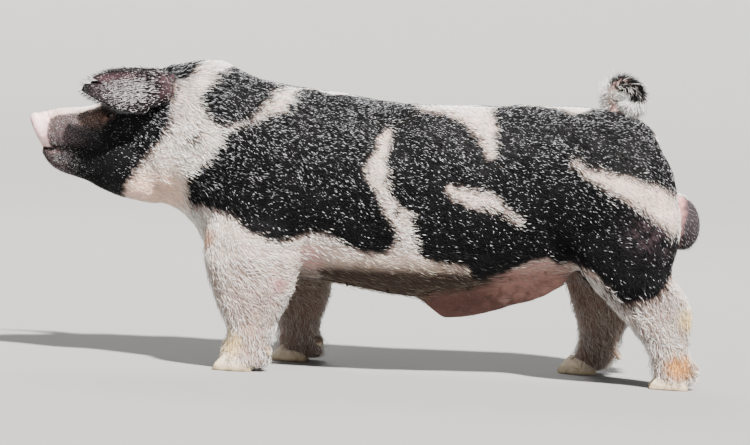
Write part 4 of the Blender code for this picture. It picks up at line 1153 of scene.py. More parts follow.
# %% Colour of the skin
def skin_colours(places, area):
    x, y, z = places.T
    white = ramp(white_depth(places) / fuzz(places), -1.2, 1.4)
    mottle = sway(places, 0.030, 31)
    pink = tint(np.tile(SHADED_PINK_SKIN, (len(places), 1)), THROAT_SKIN, area["throat"])
    # The underside is painted near black-brown: partly dark skin, partly painted shade under the body
    pink = tint(pink, BELLY_SKIN_AND_SHADE, area["belly"])
    pink = tint(pink, SHADED_LEG_SKIN, area["leg"])
    # Painted shade on the legs' inner faces
    pink = tint(pink, (0.100, 0.057, 0.045), area["inner"] * 0.9)
    pink = tint(pink, (0.460, 0.235, 0.215), area["elbow"] * 0.8)
    pink = tint(pink, (0.600, 0.390, 0.320), area["muzzle"] * 0.8)
    pink = stained(pink, places)
    dark = tint(np.tile(BLACK_SKIN, (len(places), 1)), MAUVE_SKIN, 0.75 * area["mauve"] * ramp(mottle, -1.0, 0.8))
    dark = tint(dark, MUZZLE_SKIN, area["muzzle"] * ramp(z, 0.468, 0.49) * (0.7 + 0.3 * ramp(mottle, -0.6, 0.5)))
    dark = tint(dark, (0.080, 0.047, 0.046), area["chin"] * (0.5 + 0.5 * ramp(mottle, -0.5, 0.5)))
    dark = tint(dark, (0.060, 0.029, 0.021), area["brow"] * 0.9)
    collar = area["muzzle"] * (1 - ramp(x + 0.006 * mottle, -0.700, -0.600)) * ramp(z, 0.472, 0.49)
    dark = tint(dark, (0.095, 0.060, 0.058), collar * 0.6)
    colours = dark + (pink - dark) * white[:, None]
    # The sheath is painted dark brown: partly its own colour, partly painted shade on the underside
    colours = tint(colours, SHEATH_SKIN_AND_SHADE, area["sheath"])
    groin = np.maximum(area["groin"] * (1 - area["leg"]), area["sheath"] * ramp(x, 0.24, 0.36))
    # Sheath and groin are painted lighter pink along their upper part: painted light where they turn up
    colours = tint(colours, (0.31, 0.165, 0.140), groin * ramp(z + 0.02 * mottle, 0.155, 0.205) * 0.8)
    colours = tint(colours, SAC_SKIN, area["sac"])
    sac_root = area["sac"] * (1 - ramp(x + 0.10 * (0.37 - z) + 0.004 * mottle, 0.700, 0.724))
    cleft = area["sac"] * (1 - ramp(np.abs(y), 0.002, 0.010)) * 0.5
    colours = tint(colours, (0.50, 0.235, 0.225), np.maximum(sac_root, cleft))
    colours = tint(colours, (0.50, 0.33, 0.29), area["tail"])
    edge = np.maximum(ramp(np.abs(area["ear_across"]), 0.74, 0.96), ramp(area["ear_along"], 0.82, 0.95))
    rosy = np.maximum(ramp(area["ear_across"], 0.0, 0.5), 1 - ramp(area["ear_along"], 0.14, 0.34))
    leaf = tint(np.tile(EAR_SKIN, (len(places), 1)), (0.044, 0.021, 0.025), rosy * (1 - edge))
    leaf = tint(leaf, BLACK_SKIN, np.maximum(edge, 0.5 * ramp(mottle, 0.1, 0.7)))
    leaf = tint(leaf, (0.15, 0.075, 0.075), area["ear_inside"] * (1 - edge) * 0.8)
    colours = mix(colours, leaf, area["ear"][:, None])
    blotches = 0.8 * ramp(sway(places, 0.014, 92) + 0.6 * mottle, 0.1, 1.3)
    disc = tint(np.tile(DISC_SKIN, (len(places), 1)), (0.62, 0.34, 0.33), blotches)
    colours = mix(colours, disc, area["disc"][:, None])
    # A dark line in the fold behind the disc: painted shade in the crease
    crease = np.exp(-((area["off_disc"] - 0.003) / 0.0024) ** 2) * ramp(z, 0.470, 0.476) * (x > -0.74)
    colours = tint(colours, (0.16, 0.085, 0.085), crease * mix(0.75, 0.35, white))
    holes = np.abs(np.abs(y) - NOSTRIL_APART) < NOSTRIL_RADII[0] * 1.15
    disc_up = np.array((-math.sin(DISC_LEAN), 0.0, math.cos(DISC_LEAN)))
    disc_ahead = np.array((math.cos(DISC_LEAN), 0, math.sin(DISC_LEAN)))
    from_disc = places - np.array(DISC_AT)
    holes = holes & (np.abs(from_disc @ disc_up) < NOSTRIL_RADII[1] * 1.15)
    inside = ramp(from_disc @ disc_ahead, -0.011, -0.004)
    # Inside the nostrils the skin is painted near black: painted shade in the holes
    colours = tint(colours, (0.045, 0.014, 0.013), holes * inside * (x < -0.70))
    blush = np.exp(-((np.hypot(np.abs(y) - NOSTRIL_APART, (z - DISC_AT.z)) / 0.016) ** 2)) * area["disc"] * ~holes
    colours = tint(colours, (0.66, 0.33, 0.31), blush * 0.55)
    colours = tint(colours, (0.020, 0.012, 0.012), area["eye"] * 0.85)
    colours = tint(colours, (0.42, 0.24, 0.18), area["eye_corner"] * 0.6)
    # The mouth's groove is painted near black: painted shade in the crease between the lips
    groove = 1 - ramp(line_distance(folded(places), MOUTH_LINE)[0], 0.0015, 0.0045)
    colours = tint(colours, (0.020, 0.010, 0.010), groove * 0.9)
    return np.clip(colours, 0.002, 0.95)


def store_colours(mesh, name, colours):
    attribute = mesh.color_attributes.new(name, "FLOAT_COLOR", "POINT")
    padded = np.column_stack([colours, np.ones(len(colours))]) if colours.shape[1] == 3 else colours
    attribute.data.foreach_set("color", padded.astype(np.float32).ravel())


skin_area = regions(points_of(skin))
store_colours(skin.data, "hide", skin_colours(points_of(skin), skin_area))
store_colours(skin.data, "furriness", np.column_stack([
    1 - bareness(skin_area), skin_area["leg"], np.maximum(skin_area["disc"], skin_area["lips"] * 0.6)]))
print("skin coloured,", round(float((white_depth(points_of(skin)) > 0).mean()), 2), "of it white")

# %% [markdown]
# ## Shader arithmetic
# Material nodes are easier to read as sums than as wires. A small class wraps one socket, so that
# `1 - mask * 0.5` makes the Math nodes by itself. Anything else is one call with a node's type,
# its settings and the values of its sockets.

# %% The Wire class
class Wire:
    """One socket of a material, which can be reckoned with."""

    def __init__(self, tree, socket=None):
        self.tree, self.socket = tree, socket

    def node(self, kind, settings=None, values=None, out=0):
        """Adds a node: its settings first, then the values or links of its sockets."""
        made = self.tree.nodes.new(kind)
        for name, value in (settings or {}).items():
            if name == "stops":
                set_stops(made.color_ramp, value)
            else:
                setattr(made, name, value)
        for name, value in (values or {}).items():
            if isinstance(value, Wire):
                self.tree.links.new(value.socket, made.inputs[name])
            else:
                made.inputs[name].default_value = value
        return Wire(self.tree, made.outputs[out])

    def maths(self, operation, first, second):
        return self.node("ShaderNodeMath", {"operation": operation}, {0: first, 1: second})

    def vector(self, operation, first, second):
        return self.node("ShaderNodeVectorMath", {"operation": operation}, {0: first, 1: second})

    def __add__(self, other):
        return self.maths("ADD", self, other)

    __radd__ = __add__

    def __sub__(self, other):
        return self.maths("SUBTRACT", self, other)

    def __rsub__(self, other):
        return self.maths("SUBTRACT", other, self)

    def __mul__(self, other):
        return self.maths("MULTIPLY", self, other)

    __rmul__ = __mul__

    def between(self, low, high):
        """0 at the low value, 1 at the high one, and held there outside them."""
        values = {"Value": self, "From Min": low, "From Max": high}
        return self.node("ShaderNodeMapRange", {"clamp": True}, values)

    def blend(self, first, second, kind="MIX"):
        """Two colours mixed by this share."""
        values = {0: self, 6: first, 7: second}
        return self.node("ShaderNodeMix", {"data_type": "RGBA", "blend_type": kind}, values, 2)


def set_stops(ramp_data, stops):
    while len(ramp_data.elements) < len(stops):
        ramp_data.elements.new(0.5)
    for element, (place, colour) in zip(ramp_data.elements, stops):
        element.position, element.color = place, (*colour, 1.0)


# %% Materials from a few lines
def surface(name, constants, paint):
    """A material: constants go straight on the shader, and paint gives what varies."""
    made = bpy.data.materials.new(name)
    made.use_nodes = True
    shader = made.node_tree.nodes["Principled BSDF"]
    for socket, value in constants.items():
        shader.inputs[socket].default_value = value
    for socket, wire in paint(Wire(made.node_tree)).items():
        made.node_tree.links.new(wire.socket, shader.inputs[socket])
    return made


def place_wire(wire, scale):
    """Object coordinates, stretched by this scale along each axis."""
    return wire.vector("MULTIPLY", wire.node("ShaderNodeTexCoord", out=3), scale)


def noise(wire, scale, detail=3.0, roughness=0.55):
    values = {"Vector": place_wire(wire, scale), "Scale": 1.0, "Detail": detail, "Roughness": roughness}
    return wire.node("ShaderNodeTexNoise", {}, values)


def bumped(wire, height, strength, distance):
    values = {"Strength": strength, "Distance": distance, "Height": height}
    return wire.node("ShaderNodeBump", {}, values)


def shaded(colour, shade):
    """A colour made darker or lighter by a number."""
    grey = shade.node("ShaderNodeCombineXYZ", {}, {0: shade, 1: shade, 2: shade})
    return colour.vector("MULTIPLY", colour, grey)


print("shader helpers ready")

# %% [markdown]
# ## The skin's finish
# Bare pigskin is matt, creased and pored, and redder where it is thin. Under hair it hardly shows,
# but between the tufts it must look like more hair. So where hair grows the bump turns into fine
# streaks that run with the lie of the coat, and where the hide is bare it turns into pores.

# %% Skin
def paint_skin(wire):
    hide = wire.node("ShaderNodeAttribute", {"attribute_name": "hide"})
    fur = wire.node("ShaderNodeAttribute", {"attribute_name": "furriness"})
    furry = fur.node("ShaderNodeSeparateColor", {}, {0: fur})
    leg = Wire(wire.tree, furry.socket.node.outputs[1])
    along_back = noise(wire, (60, 420, 420), 4.0)
    down_leg = noise(wire, (420, 420, 60), 4.0)
    streaks = along_back + (down_leg - along_back) * leg
    pore_values = {"Vector": place_wire(wire, (420, 420, 420)), "Scale": 1.0}
    pores = wire.node("ShaderNodeTexVoronoi", {"feature": "F1"}, pore_values)
    creases = noise(wire, (150, 150, 260), 5.0, 0.65)
    blotch = noise(wire, (38, 38, 38), 4.0, 0.6)
    flecks = streaks.between(0.60, 0.78) * furry
    # Bare skin is painted darker in the valleys of its crease bump: painted shade in the creases
    shade = (blotch.between(0.30, 0.72) * 0.34 + 0.80) * (1 - (1 - furry) * creases.between(0.62, 0.40) * 0.22)
    plain = shaded(hide, shade)
    light = wire.vector("ADD", plain, (0.020, 0.020, 0.021))
    colour = (flecks * 0.4).blend(plain, light)
    rough = 0.66 - streaks.between(0.45, 0.75) * furry * 0.16 + blotch * 0.10
    height = streaks * furry * 0.9 + (1 - furry) * (creases * 0.8 - pores * 0.25)
    return {"Base Color": colour, "Roughness": rough, "Normal": bumped(wire, height, 0.55, 0.0016)}


skin_look = surface("boar_skin", {
    "Subsurface Weight": 0.03, "Subsurface Scale": 0.005, "Specular IOR Level": 0.10,
    "Subsurface Radius": (1.0, 0.35, 0.2),
}, paint_skin)
skin.data.materials.clear()
skin.data.materials.append(skin_look)
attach(skin, "root")
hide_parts("head", "neck", "torso", "snout_disc", "scrotum", "tail", "ear_left", "ear_right",
            "leg_fore_left", "leg_fore_right", "leg_hind_left", "leg_hind_right")
print("skin dressed")

# %% [markdown]
# ## Eyes
# A pig's eye is small and dark, with a brown iris and a wet surface. The ball is a fine sphere
# turned so that its pole looks out of the socket, and the iris is drawn by distance from that
# pole, so it stays on the eye whatever the view.

# %% Eyeballs
def paint_eye_for(side):
    look = mirror_side(EYE_LOOK, side)
    centre = mirror_side(EYE_AT, side)

    def paint(wire):
        at = wire.node("ShaderNodeTexCoord", out=3)
        away = wire.vector("SUBTRACT", at, tuple(centre + look * EYE_RADIUS))
        far = wire.node("ShaderNodeVectorMath", {"operation": "LENGTH"}, {0: away}, 1)
        rings = noise(wire, (900, 900, 900), 4.0, 0.5)
        stops = ((0.0, (0.002, 0.002, 0.002)), (0.36, (0.002, 0.002, 0.002)), (0.42, (0.022, 0.010, 0.006)),
                 (0.64, (0.034, 0.016, 0.009)), (0.74, (0.005, 0.004, 0.004)), (0.92, (0.070, 0.045, 0.038)))
        iris = wire.node("ShaderNodeValToRGB", {"stops": stops}, {0: far * (1 / 0.0130) + (rings - 0.5) * 0.10})
        return {"Base Color": iris, "Roughness": rings * 0.06 + 0.04}

    return paint


for side, word in ((-1, "left"), (1, "right")):
    ball = ellipsoid(f"eyeball_{word}", (0, 0, 0), (EYE_RADIUS * 0.995,) * 3, 0, 40, 56)
    turn = mirror_side(EYE_LOOK, side).to_track_quat("Z", "Y").to_matrix().to_4x4()
    ball.data.transform(Matrix.Translation(mirror_side(EYE_AT, side)) @ turn)
    ball.data.polygons.foreach_set("use_smooth", [True] * len(ball.data.polygons))
    ball.data.materials.append(surface(f"eye_{word}_wet", {
        "Coat Weight": 0.09, "Coat Roughness": 0.03, "Specular IOR Level": 0.22}, paint_eye_for(side)))
    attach(ball, "root")
    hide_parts(f"eye_{word}")
print("eyes set in")

# %% [markdown]
# ## Hooves
# A pig walks on two claws of each foot and carries two small dewclaws behind. The horn grows down
# from the coronet in faint rings, is palest at the top and dirty at the edge that meets the
# ground. Each claw is a short loft of squared rings, with a flat sole.

# %% Claw shapes
CLAW_LENGTH, CLAW_WIDTH, CLAW_HEIGHT, HEEL_HEIGHT = 0.088, 0.032, 0.041, 0.020
CLAW_APART, DEWCLAW_APART = 0.0175, 0.0185
DEWCLAW_LENGTH, DEWCLAW_RISE, DEWCLAW_SUNK = 0.026, 0.056, 0.012
# Each level: share of the height, how far the toe leans back, share of the width
CLAW_LEVELS = (
    (0.000, 0.010, 0.88), (0.045, 0.000, 0.95), (0.220, 0.030, 1.00), (0.620, 0.170, 0.90), (1.000, 0.330, 0.74),
)
# Each level: share of the length, radius
DEWCLAW_LEVELS = ((0.0, 0.0085), (0.45, 0.0088), (0.8, 0.0060), (0.95, 0.0032), (1.0, 0.0010))


def claw(name, toe, y, outward):
    rings = []
    for rise, reach, share in smooth_rows(CLAW_LEVELS, 16):
        along, across = squared_circle(44, 2.4)
        front = toe + CLAW_LENGTH * reach
        back = toe + CLAW_LENGTH * (1.0 - 0.05 * rise)
        taper = 1 - 0.42 * ramp(-along, -0.1, 1.0)
        lean = outward * 0.004 * (along + 1) / 2
        fall = CLAW_HEIGHT + (HEEL_HEIGHT - CLAW_HEIGHT) * (along + 1) / 2
        ripple = 1 + 0.012 * math.sin(rise * 26)
        x = (front + back) / 2 + (back - front) / 2 * along * ripple
        rings.append(np.column_stack([x, y + lean + CLAW_WIDTH / 2 * share * across * taper * ripple, fall * rise]))
    return loft(name, rings)


def dewclaw(name, x, y, z, side_out):
    rings = []
    for t, radius in smooth_rows(DEWCLAW_LEVELS, 12):
        along, across = squared_circle(20, 2.0)
        reach = DEWCLAW_LENGTH * t
        centre = Vector((x + 0.55 * reach, y + side_out * 0.004 * t, z - 0.72 * reach))
        rings.append([centre + Vector((0.9 * a, c, 0.5 * a)) * radius for a, c in zip(along, across)])
    return loft(name, rings)


# %% Horn, and all sixteen claws
def paint_horn(wire):
    height = wire.node("ShaderNodeSeparateXYZ", {}, {0: place_wire(wire, (1, 1, 1))}, 2)
    stain = noise(wire, (55, 55, 80), 5.0, 0.6)
    rings = noise(wire, (22, 22, 330), 2.0)
    grain = noise(wire, (420, 420, 40), 3.0)
    stops = ((0.0, (0.17, 0.12, 0.07)), (0.22, (0.42, 0.33, 0.21)), (0.50, (0.64, 0.54, 0.40)),
             (0.78, (0.62, 0.50, 0.38)), (1.0, (0.11, 0.07, 0.05)))
    horn = wire.node("ShaderNodeValToRGB", {"stops": stops}, {0: height * 18 + (stain - 0.5) * 0.9 + 0.10})
    dark = (rings.between(0.55, 0.30) * 0.16 + stain.between(0.52, 0.75) * 0.35).blend(horn, (0.25, 0.17, 0.10, 1))
    return {"Base Color": dark, "Roughness": 0.38 + stain * 0.35,
            "Normal": bumped(wire, rings * 0.6 + grain * 0.35, 0.5, 0.0012)}


horn_look = surface("hoof_horn", {"Specular IOR Level": 0.4}, paint_horn)


def horn_piece(piece, node):
    piece.data.polygons.foreach_set("use_smooth", [abs(p.normal.z) < 0.98 for p in piece.data.polygons])
    piece.data.materials.append(horn_look)
    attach(piece, "root")
    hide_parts(node)


claws = []
for leg, toe in TOE_TIPS.items():
    end, hand = leg.split("_")
    side = -1 if hand == "left" else 1
    table, stride = (FORE_LEG, FORE_STRIDE) if end == "fore" else (HIND_LEG, HIND_STRIDE)
    out = side * table[0][3]
    back = table[2][2] + stride_at(DEWCLAW_RISE, side, stride) - DEWCLAW_SUNK
    for word, apart in (("inner", -side), ("outer", side)):
        claws.append(claw(f"hoof_{leg}_{word}", toe, out + apart * CLAW_APART, apart))
        horn_piece(claws[-1], f"claw_{leg}_{word}")
        claws.append(dewclaw(f"dew_{leg}_{word}", back, out + apart * DEWCLAW_APART, DEWCLAW_RISE, apart))
        horn_piece(claws[-1], f"dewclaw_{leg}_{word}")
print(len(claws), "claws")

# %% [markdown]
# ## The coat
# Bristles on a pig lie flat and overlap like shingles. Each tuft here is a thin solid spindle of a
# few bristles stuck together: its root is just under the skin and its tip bends back down to the
# body. Two hundred thousand of them can't be separate objects, so NumPy writes each region's
# tufts into one mesh.

# %% A flat plan of the skin, for the tufts' place in the texture
def skin_plan():
    """A light copy of the skin, unwrapped: its triangles and their places in the plan."""
    light = copy_of(skin, "plan")
    step = light.modifiers.new("thin", "DECIMATE")
    step.ratio = 14000 / max(1, 2 * len(light.data.polygons))
    apply_modifiers(light)
    bpy.ops.object.select_all(action="DESELECT")
    bpy.context.view_layer.objects.active = light
    light.select_set(True)
    bpy.ops.object.mode_set(mode="EDIT")
    bpy.ops.mesh.select_all(action="SELECT")
    bpy.ops.uv.smart_project(angle_limit=math.radians(66), island_margin=0.004)
    bpy.ops.object.mode_set(mode="OBJECT")
    mesh = light.data
    mesh.calc_loop_triangles()
    triangles = np.array([t.vertices for t in mesh.loop_triangles])
    loops = np.array([t.loops for t in mesh.loop_triangles])
    flat = np.empty(len(mesh.loops) * 2)
    mesh.uv_layers[0].uv.foreach_get("vector", flat)
    corners = points_of(light)
    discard(light)
    return corners, triangles, flat.reshape(-1, 2)[loops]


plan_corners, plan_triangles, plan_flat = skin_plan()
plan_tree = BVHTree.FromPolygons([tuple(c) for c in plan_corners], [tuple(t) for t in plan_triangles])


def plan_places(roots):
    """Where each root lies in the plan."""
    number = np.empty(len(roots), dtype=int)
    nearest = np.empty((len(roots), 3))
    for k, root in enumerate(roots):
        place, _, index, _ = plan_tree.find_nearest(Vector(root))
        number[k], nearest[k] = index, place
    a, b, c = (plan_corners[plan_triangles[number, k]] for k in range(3))
    whole = np.cross(b - a, c - a)
    area = np.maximum((whole**2).sum(1), 1e-18)
    second = (np.cross(nearest - a, c - a) * whole).sum(1) / area
    third = (np.cross(b - a, nearest - a) * whole).sum(1) / area
    weights = np.clip(np.column_stack([1 - second - third, second, third]), 0, 1)
    return np.clip((plan_flat[number] * weights[:, :, None]).sum(1), 0.002, 0.998)


print("plan of", len(plan_triangles), "triangles")

# %% Even roots over the skin
skin.data.calc_loop_triangles()
skin_places = points_of(skin)
skin_ups = calm_normals(skin, 4)
skin_corners = np.empty(len(skin.data.loop_triangles) * 3, dtype=np.int32)
skin.data.loop_triangles.foreach_get("vertices", skin_corners)
skin_corners = skin_corners.reshape(-1, 3)
face_areas = np.linalg.norm(np.cross(
    skin_places[skin_corners[:, 1]] - skin_places[skin_corners[:, 0]],
    skin_places[skin_corners[:, 2]] - skin_places[skin_corners[:, 0]]), axis=1) / 2
CELL = 0.008


def walk_order(places):
    """An order that keeps near places together, found by weaving the bits of their three steps."""
    steps = ((places - places.min(0)) / CELL).astype(np.int64)
    code = np.zeros(len(places), dtype=np.int64)
    for bit in range(10):
        for axis in range(3):
            code |= ((steps[:, axis] >> bit) & 1) << (3 * bit + axis)
    return np.argsort(code, kind="stable")


face_order = walk_order(skin_places[skin_corners].mean(1))


def corner_mean(values):
    return values[skin_corners].mean(1)


def scattered(weights, count, draw):
    """Roots and their upward directions, spread evenly by weight over the skin."""
    total = np.cumsum((face_areas * weights)[face_order])
    at = (np.arange(count) + draw.random(count)) / count * total[-1]
    chosen = skin_corners[face_order[np.minimum(np.searchsorted(total, at), len(total) - 1)]]
    a, b = draw.random((2, count))
    over = a + b > 1
    a, b = np.where(over, 1 - a, a), np.where(over, 1 - b, b)
    shares = np.column_stack([1 - a - b, a, b])[:, :, None]
    return (skin_places[chosen] * shares).sum(1), unit((skin_ups[chosen] * shares).sum(1))


# %% Which way the hair lies
TAIL_AHEAD = unit(np.gradient(TAIL_LINE, axis=0))


def hair_lie(places, ups, area, draw):
    """Directions along the skin: back over the body, down the legs, out along ears and tail."""
    x, y, z = places.T
    side = np.sign(y)
    none = np.zeros(len(x))
    flank = ramp(np.abs(y), 0.03, 0.13)
    lie = np.column_stack([none + 1, none, -0.42 * flank])
    lie = mix(lie, np.column_stack([none + 1, 0.25 * side, -0.25 * flank]), area["head"][:, None])
    chest = (1 - ramp(x, -0.36, -0.20)) * (1 - ramp(z, 0.30, 0.42)) * (1 - area["head"])
    lie = mix(lie, np.column_stack([none + 0.35, none, none - 1]), chest[:, None])
    sweep = 0.32 + 1.40 * ramp(z, 0.08, 0.20) * (x < 0.1)
    lie = mix(lie, np.column_stack([sweep, none, none - 1]), np.maximum(area["leg"], area["rear"] * 0.8)[:, None])
    lie = mix(lie, np.column_stack([none - 1, 0.1 * side, none - 0.12]), (area["ear"] > 0.3)[:, None] * 1.0)
    ahead = TAIL_AHEAD[np.round(area["tail_along"] * (len(TAIL_AHEAD) - 1)).astype(int)]
    lie = mix(lie, ahead, area["tail"][:, None])
    lie = unit(lie - ups * (lie * ups).sum(1, keepdims=True))
    angle = 0.30 * sway(places, 0.10, 51) + 0.16 * sway(places, 0.03, 52) + draw.normal(0, 0.13, len(x))
    angle *= mix(1.0, 0.5, area["ear"]) * mix(1.0, 1.4, area["leg"])
    return lie * np.cos(angle)[:, None] + np.cross(ups, lie) * np.sin(angle)[:, None]


print("roots on", len(skin_corners), "skin triangles")

# %% Colour of the hair
def hair_colours(places, area, draw):
    """Colours of each tuft at its root, middle and tip, and how far a black one gleams."""
    count = len(places)
    white = (white_depth(places) + draw.normal(0, 1, count) * fuzz(places) > 0)[:, None]
    clump = sway(places, 0.016, 73)
    shade = 1.03 - draw.random(count) ** 1.4 * mix(0.46, 0.64, area["leg"])
    light = np.array(WHITE_HAIR) * (shade * (1 + 0.12 * clump))[:, None]
    pinkness = 0.08 + 0.25 * area["leg"] + 0.25 * area["ham"]
    light = tint(light, SHADED_PINK_SKIN, draw.random(count) * pinkness)
    # About a quarter of the white tufts, more in clumps, are painted grey-brown: painted shade between the locks of
    # white hair
    light = tint(light, (0.34, 0.27, 0.22), (draw.random(count) < 0.25 + 0.12 * clump) * 0.72)
    light = tint(light, (0.92, 0.62, 0.43), draw.random(count) * area["throat"] * 0.9)
    # The strip under the saddle is tinted yellow-brown: partly its cream-yellow hair, partly painted shade towards the
    # underside
    light = tint(light, (0.36, 0.29, 0.17), mix(0.35, 1.0, draw.random(count)) * area["strip"])
    # The belly hair is painted near black-brown: partly its own dark colour, partly painted shade under the body
    light = tint(light, (0.060, 0.040, 0.030), mix(0.55, 1.0, draw.random(count)) * area["belly"])
    # Painted shade: the hair on the legs' inner faces is greyer and browner
    light = tint(light, (0.25, 0.185, 0.14), mix(0.45, 1.0, draw.random(count)) * area["inner"])
    light = stained(light, places)
    dark = np.array(BLACK_HAIR) * draw.uniform(0.6, 1.8, (count, 1))
    brown = (1 - ramp(np.hypot(places[:, 0] + 0.622, (places[:, 2] - 0.543) * 1.3), 0.020, 0.050)) * draw.random(count)
    dark = tint(dark, (0.46, 0.25, 0.16), brown * 0.75)
    # Painted highlights: a share of the black tufts get a bright middle for the sun's glints, more of them higher up
    # the body and on the rump, where the light falls
    jaw = 0.35 + 0.6 * ramp(places[:, 0] + 0.4 * (0.46 - places[:, 2]), -0.60, -0.50)
    share = mix(0.05, 0.30, ramp(places[:, 2] + 0.06 * area["rear"], 0.27, 0.60)) * mix(1.0, jaw, area["head"])
    share = share * (1 + 0.3 * sway(places, 0.12, 71)) * (1 + 0.5 * clump)
    gleam = (draw.random(count) < share) * draw.uniform(0.15, 0.95, count)
    # On the muzzle, chin and brow the bright tips are partly pale hair and partly painted sheen; they are fewer at the
    # muzzle's very front, which tones down the light on the snout's flare there
    front = area["muzzle"] ** 0.5 * mix(0.45, 1.0, ramp(places[:, 0], -0.685, -0.660))
    front = front * ramp(places[:, 2], 0.470, 0.490)
    gleam = np.maximum(gleam, front * (draw.random(count) < 0.60) * draw.uniform(0.10, 0.80, count))
    gleam = np.maximum(gleam, area["chin"] * (draw.random(count) < 0.3) * draw.uniform(0.1, 0.8, count))
    gleam = np.maximum(gleam, area["brow"] * (draw.random(count) < 0.5) * draw.uniform(0.05, 0.35, count))
    dark_tip = tint(dark, GLINT_HAIR, gleam * mix(0.15, 1.0, area["muzzle"]))
    middle = np.where(white, light, tint(dark, GLINT_HAIR, gleam))
    dark = tint(dark, GLINT_HAIR, gleam * 0.06)
    # The white tufts' roots are painted darker than their tips: painted shade deep in the coat
    root = np.where(white, light * mix(0.46, 0.38, area["leg"][:, None]), dark)
    tip = np.where(white, light, dark_tip)
    mixed = (np.abs(places[:, 0] + 0.425) < 0.022) & (places[:, 2] > 0.55) & (places[:, 2] < 0.64) & (places[:, 1] < 0)
    mixed = (mixed & (draw.random(count) < 0.5))[:, None]
    root, middle, tip = (np.where(mixed, np.array(GREY_HAIR) * k, tone)
                         for k, tone in ((0.6, root), (1.3, middle), (1.3, tip)))
    off = np.hypot((area["ear_across"] + 0.22) / 0.72, (area["ear_along"] - 0.50) / 0.32) + area["ear_inside"]
    pale = (draw.random(count) > mix(0.34, 0.90, ramp(off + 0.16 * sway(places, 0.022, 74), 0.50, 1.25)))[:, None]
    leaf = np.where(pale, np.array(GREY_HAIR) * draw.uniform(1.0, 3.0, (count, 1)), np.array((0.012, 0.008, 0.009)))
    sac = np.array((0.20, 0.19, 0.195))
    # Ear and scrotum hair is painted darkest at the root: painted shade deep in the coat
    made = [tint(mix(tone, leaf * k, area["ear"][:, None]), sac * k, area["sac"])
            for k, tone in ((0.3, root), (1.0, middle), (0.8, tip))]
    return [np.clip(tone, 0.0015, 0.95) for tone in made], gleam * ~white[:, 0] * (1 - area["muzzle"])


# %% Tufts as solid spindles
TURNS = np.radians((90.0, 210.0, 330.0))
ROOT_DEPTH, OVER_FLOOR = 0.0006, 0.0012
# Side of a tuft's patch in the plan, whose own side is 1
PATCH = 0.003
skin_tree = BVHTree.FromObject(skin, bpy.context.evaluated_depsgraph_get())


def kept_over(points, heights):
    """The points, raised where they lie lower over the nearest skin than their height."""
    found = [skin_tree.find_nearest(point) for point in points.tolist()]
    near, up = (np.array([tuple(row[k]) for row in found]) for k in (0, 1))
    lack = heights - ((points - near) * up).sum(1, keepdims=True)
    return points + up * np.maximum(lack, 0)


def along_tuft(colours, t):
    """The colour at a share of a tuft's length, from colours given at even steps along it."""
    low = min(int(t * (len(colours) - 1)), len(colours) - 2)
    return mix(colours[low], colours[low + 1], t * (len(colours) - 1) - low)


def tuft_object(name, roots, ups, lies, sizes, colours, rings, look, slot, hugs=False):
    """One mesh of many tufts. Sizes: length, width, lift and sideways curl of each; colours from root to tip."""
    count = len(roots)
    length, width, lift, curl = (np.asarray(column)[:, None] for column in sizes)
    across = np.cross(ups, lies)
    stride = 3 * rings + 2
    points, shades = np.empty((2, count, stride, 3))
    for k in range(rings + 2):
        t = k / (rings + 1)
        height = length * lift * math.sin(math.pi * 0.62 * t)
        middle = roots + lies * length * t + across * length * curl * t * t + ups * (height - ROOT_DEPTH * (1 - t) ** 2)
        if hugs and k > 0:
            middle = kept_over(middle, height * 0.8)
        tone = along_tuft(colours, t)
        if k in (0, rings + 1):
            points[:, -min(k, 1)], shades[:, -min(k, 1)] = middle, tone
            continue
        radius = width / 2 * (1.12 - 0.45 * t)
        for m, turn in enumerate(TURNS):
            points[:, 3 * k - 2 + m] = middle + (across * math.cos(turn) + ups * (0.55 * math.sin(turn))) * radius
            shades[:, 3 * k - 2 + m] = tone
    points[:, :, 2] = np.maximum(points[:, :, 2], OVER_FLOOR)
    own = [(0, 1 + (m + 1) % 3, 1 + m) for m in range(3)]
    for k in range(rings - 1):
        for m in range(3):
            a, b = 3 * k + 1 + m, 3 * k + 1 + (m + 1) % 3
            own += [(a, b, b + 3), (a, b + 3, a + 3)]
    last = 3 * rings - 2
    own += [(last + m, last + (m + 1) % 3, stride - 1) for m in range(3)]
    own = np.array(own)
    faces = (own[None] + (np.arange(count) * stride)[:, None, None]).reshape(-1, 3)
    mesh = bpy.data.meshes.new(name)
    mesh.vertices.add(count * stride)
    mesh.vertices.foreach_set("co", points.astype(np.float32).ravel())
    mesh.loops.add(faces.size)
    mesh.loops.foreach_set("vertex_index", faces.ravel().astype(np.int32))
    mesh.polygons.add(len(faces))
    mesh.polygons.foreach_set("loop_start", np.arange(0, faces.size, 3, dtype=np.int32))
    mesh.polygons.foreach_set("use_smooth", np.ones(len(faces), dtype=bool))
    plan = mesh.uv_layers.new(name="OFBake")
    spread = [(0, -1)] + [(m - 1, 2 * k / (rings + 1) - 1) for k in range(1, rings + 1) for m in range(3)] + [(0, 1)]
    spread = np.array(spread) * PATCH / 2
    spots = plan_places(roots)[:, None] + spread[None]
    plan.uv.foreach_set("vector", spots.reshape(-1, 2)[faces.ravel()].astype(np.float32).ravel())
    store_colours(mesh, "hair", shades.reshape(-1, 3))
    mesh.update(calc_edges=True)
    mesh.materials.append(look)
    piece = linked(name, mesh)
    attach(piece, "root")
    return piece


# %% Hair finish
def paint_hair(wire):
    hair = wire.node("ShaderNodeAttribute", {"attribute_name": "hair"})
    fine = noise(wire, (700, 700, 700), 2.0)
    wide = noise(wire, (30, 30, 30), 3.0)
    shade = (fine - 0.5) * 0.5 + (wide - 0.5) * 0.35 + 1.0
    rough = 0.26 + fine * 0.26
    return {"Base Color": shaded(hair, shade), "Roughness": rough, "Normal": bumped(wire, fine, 0.25, 0.0006)}


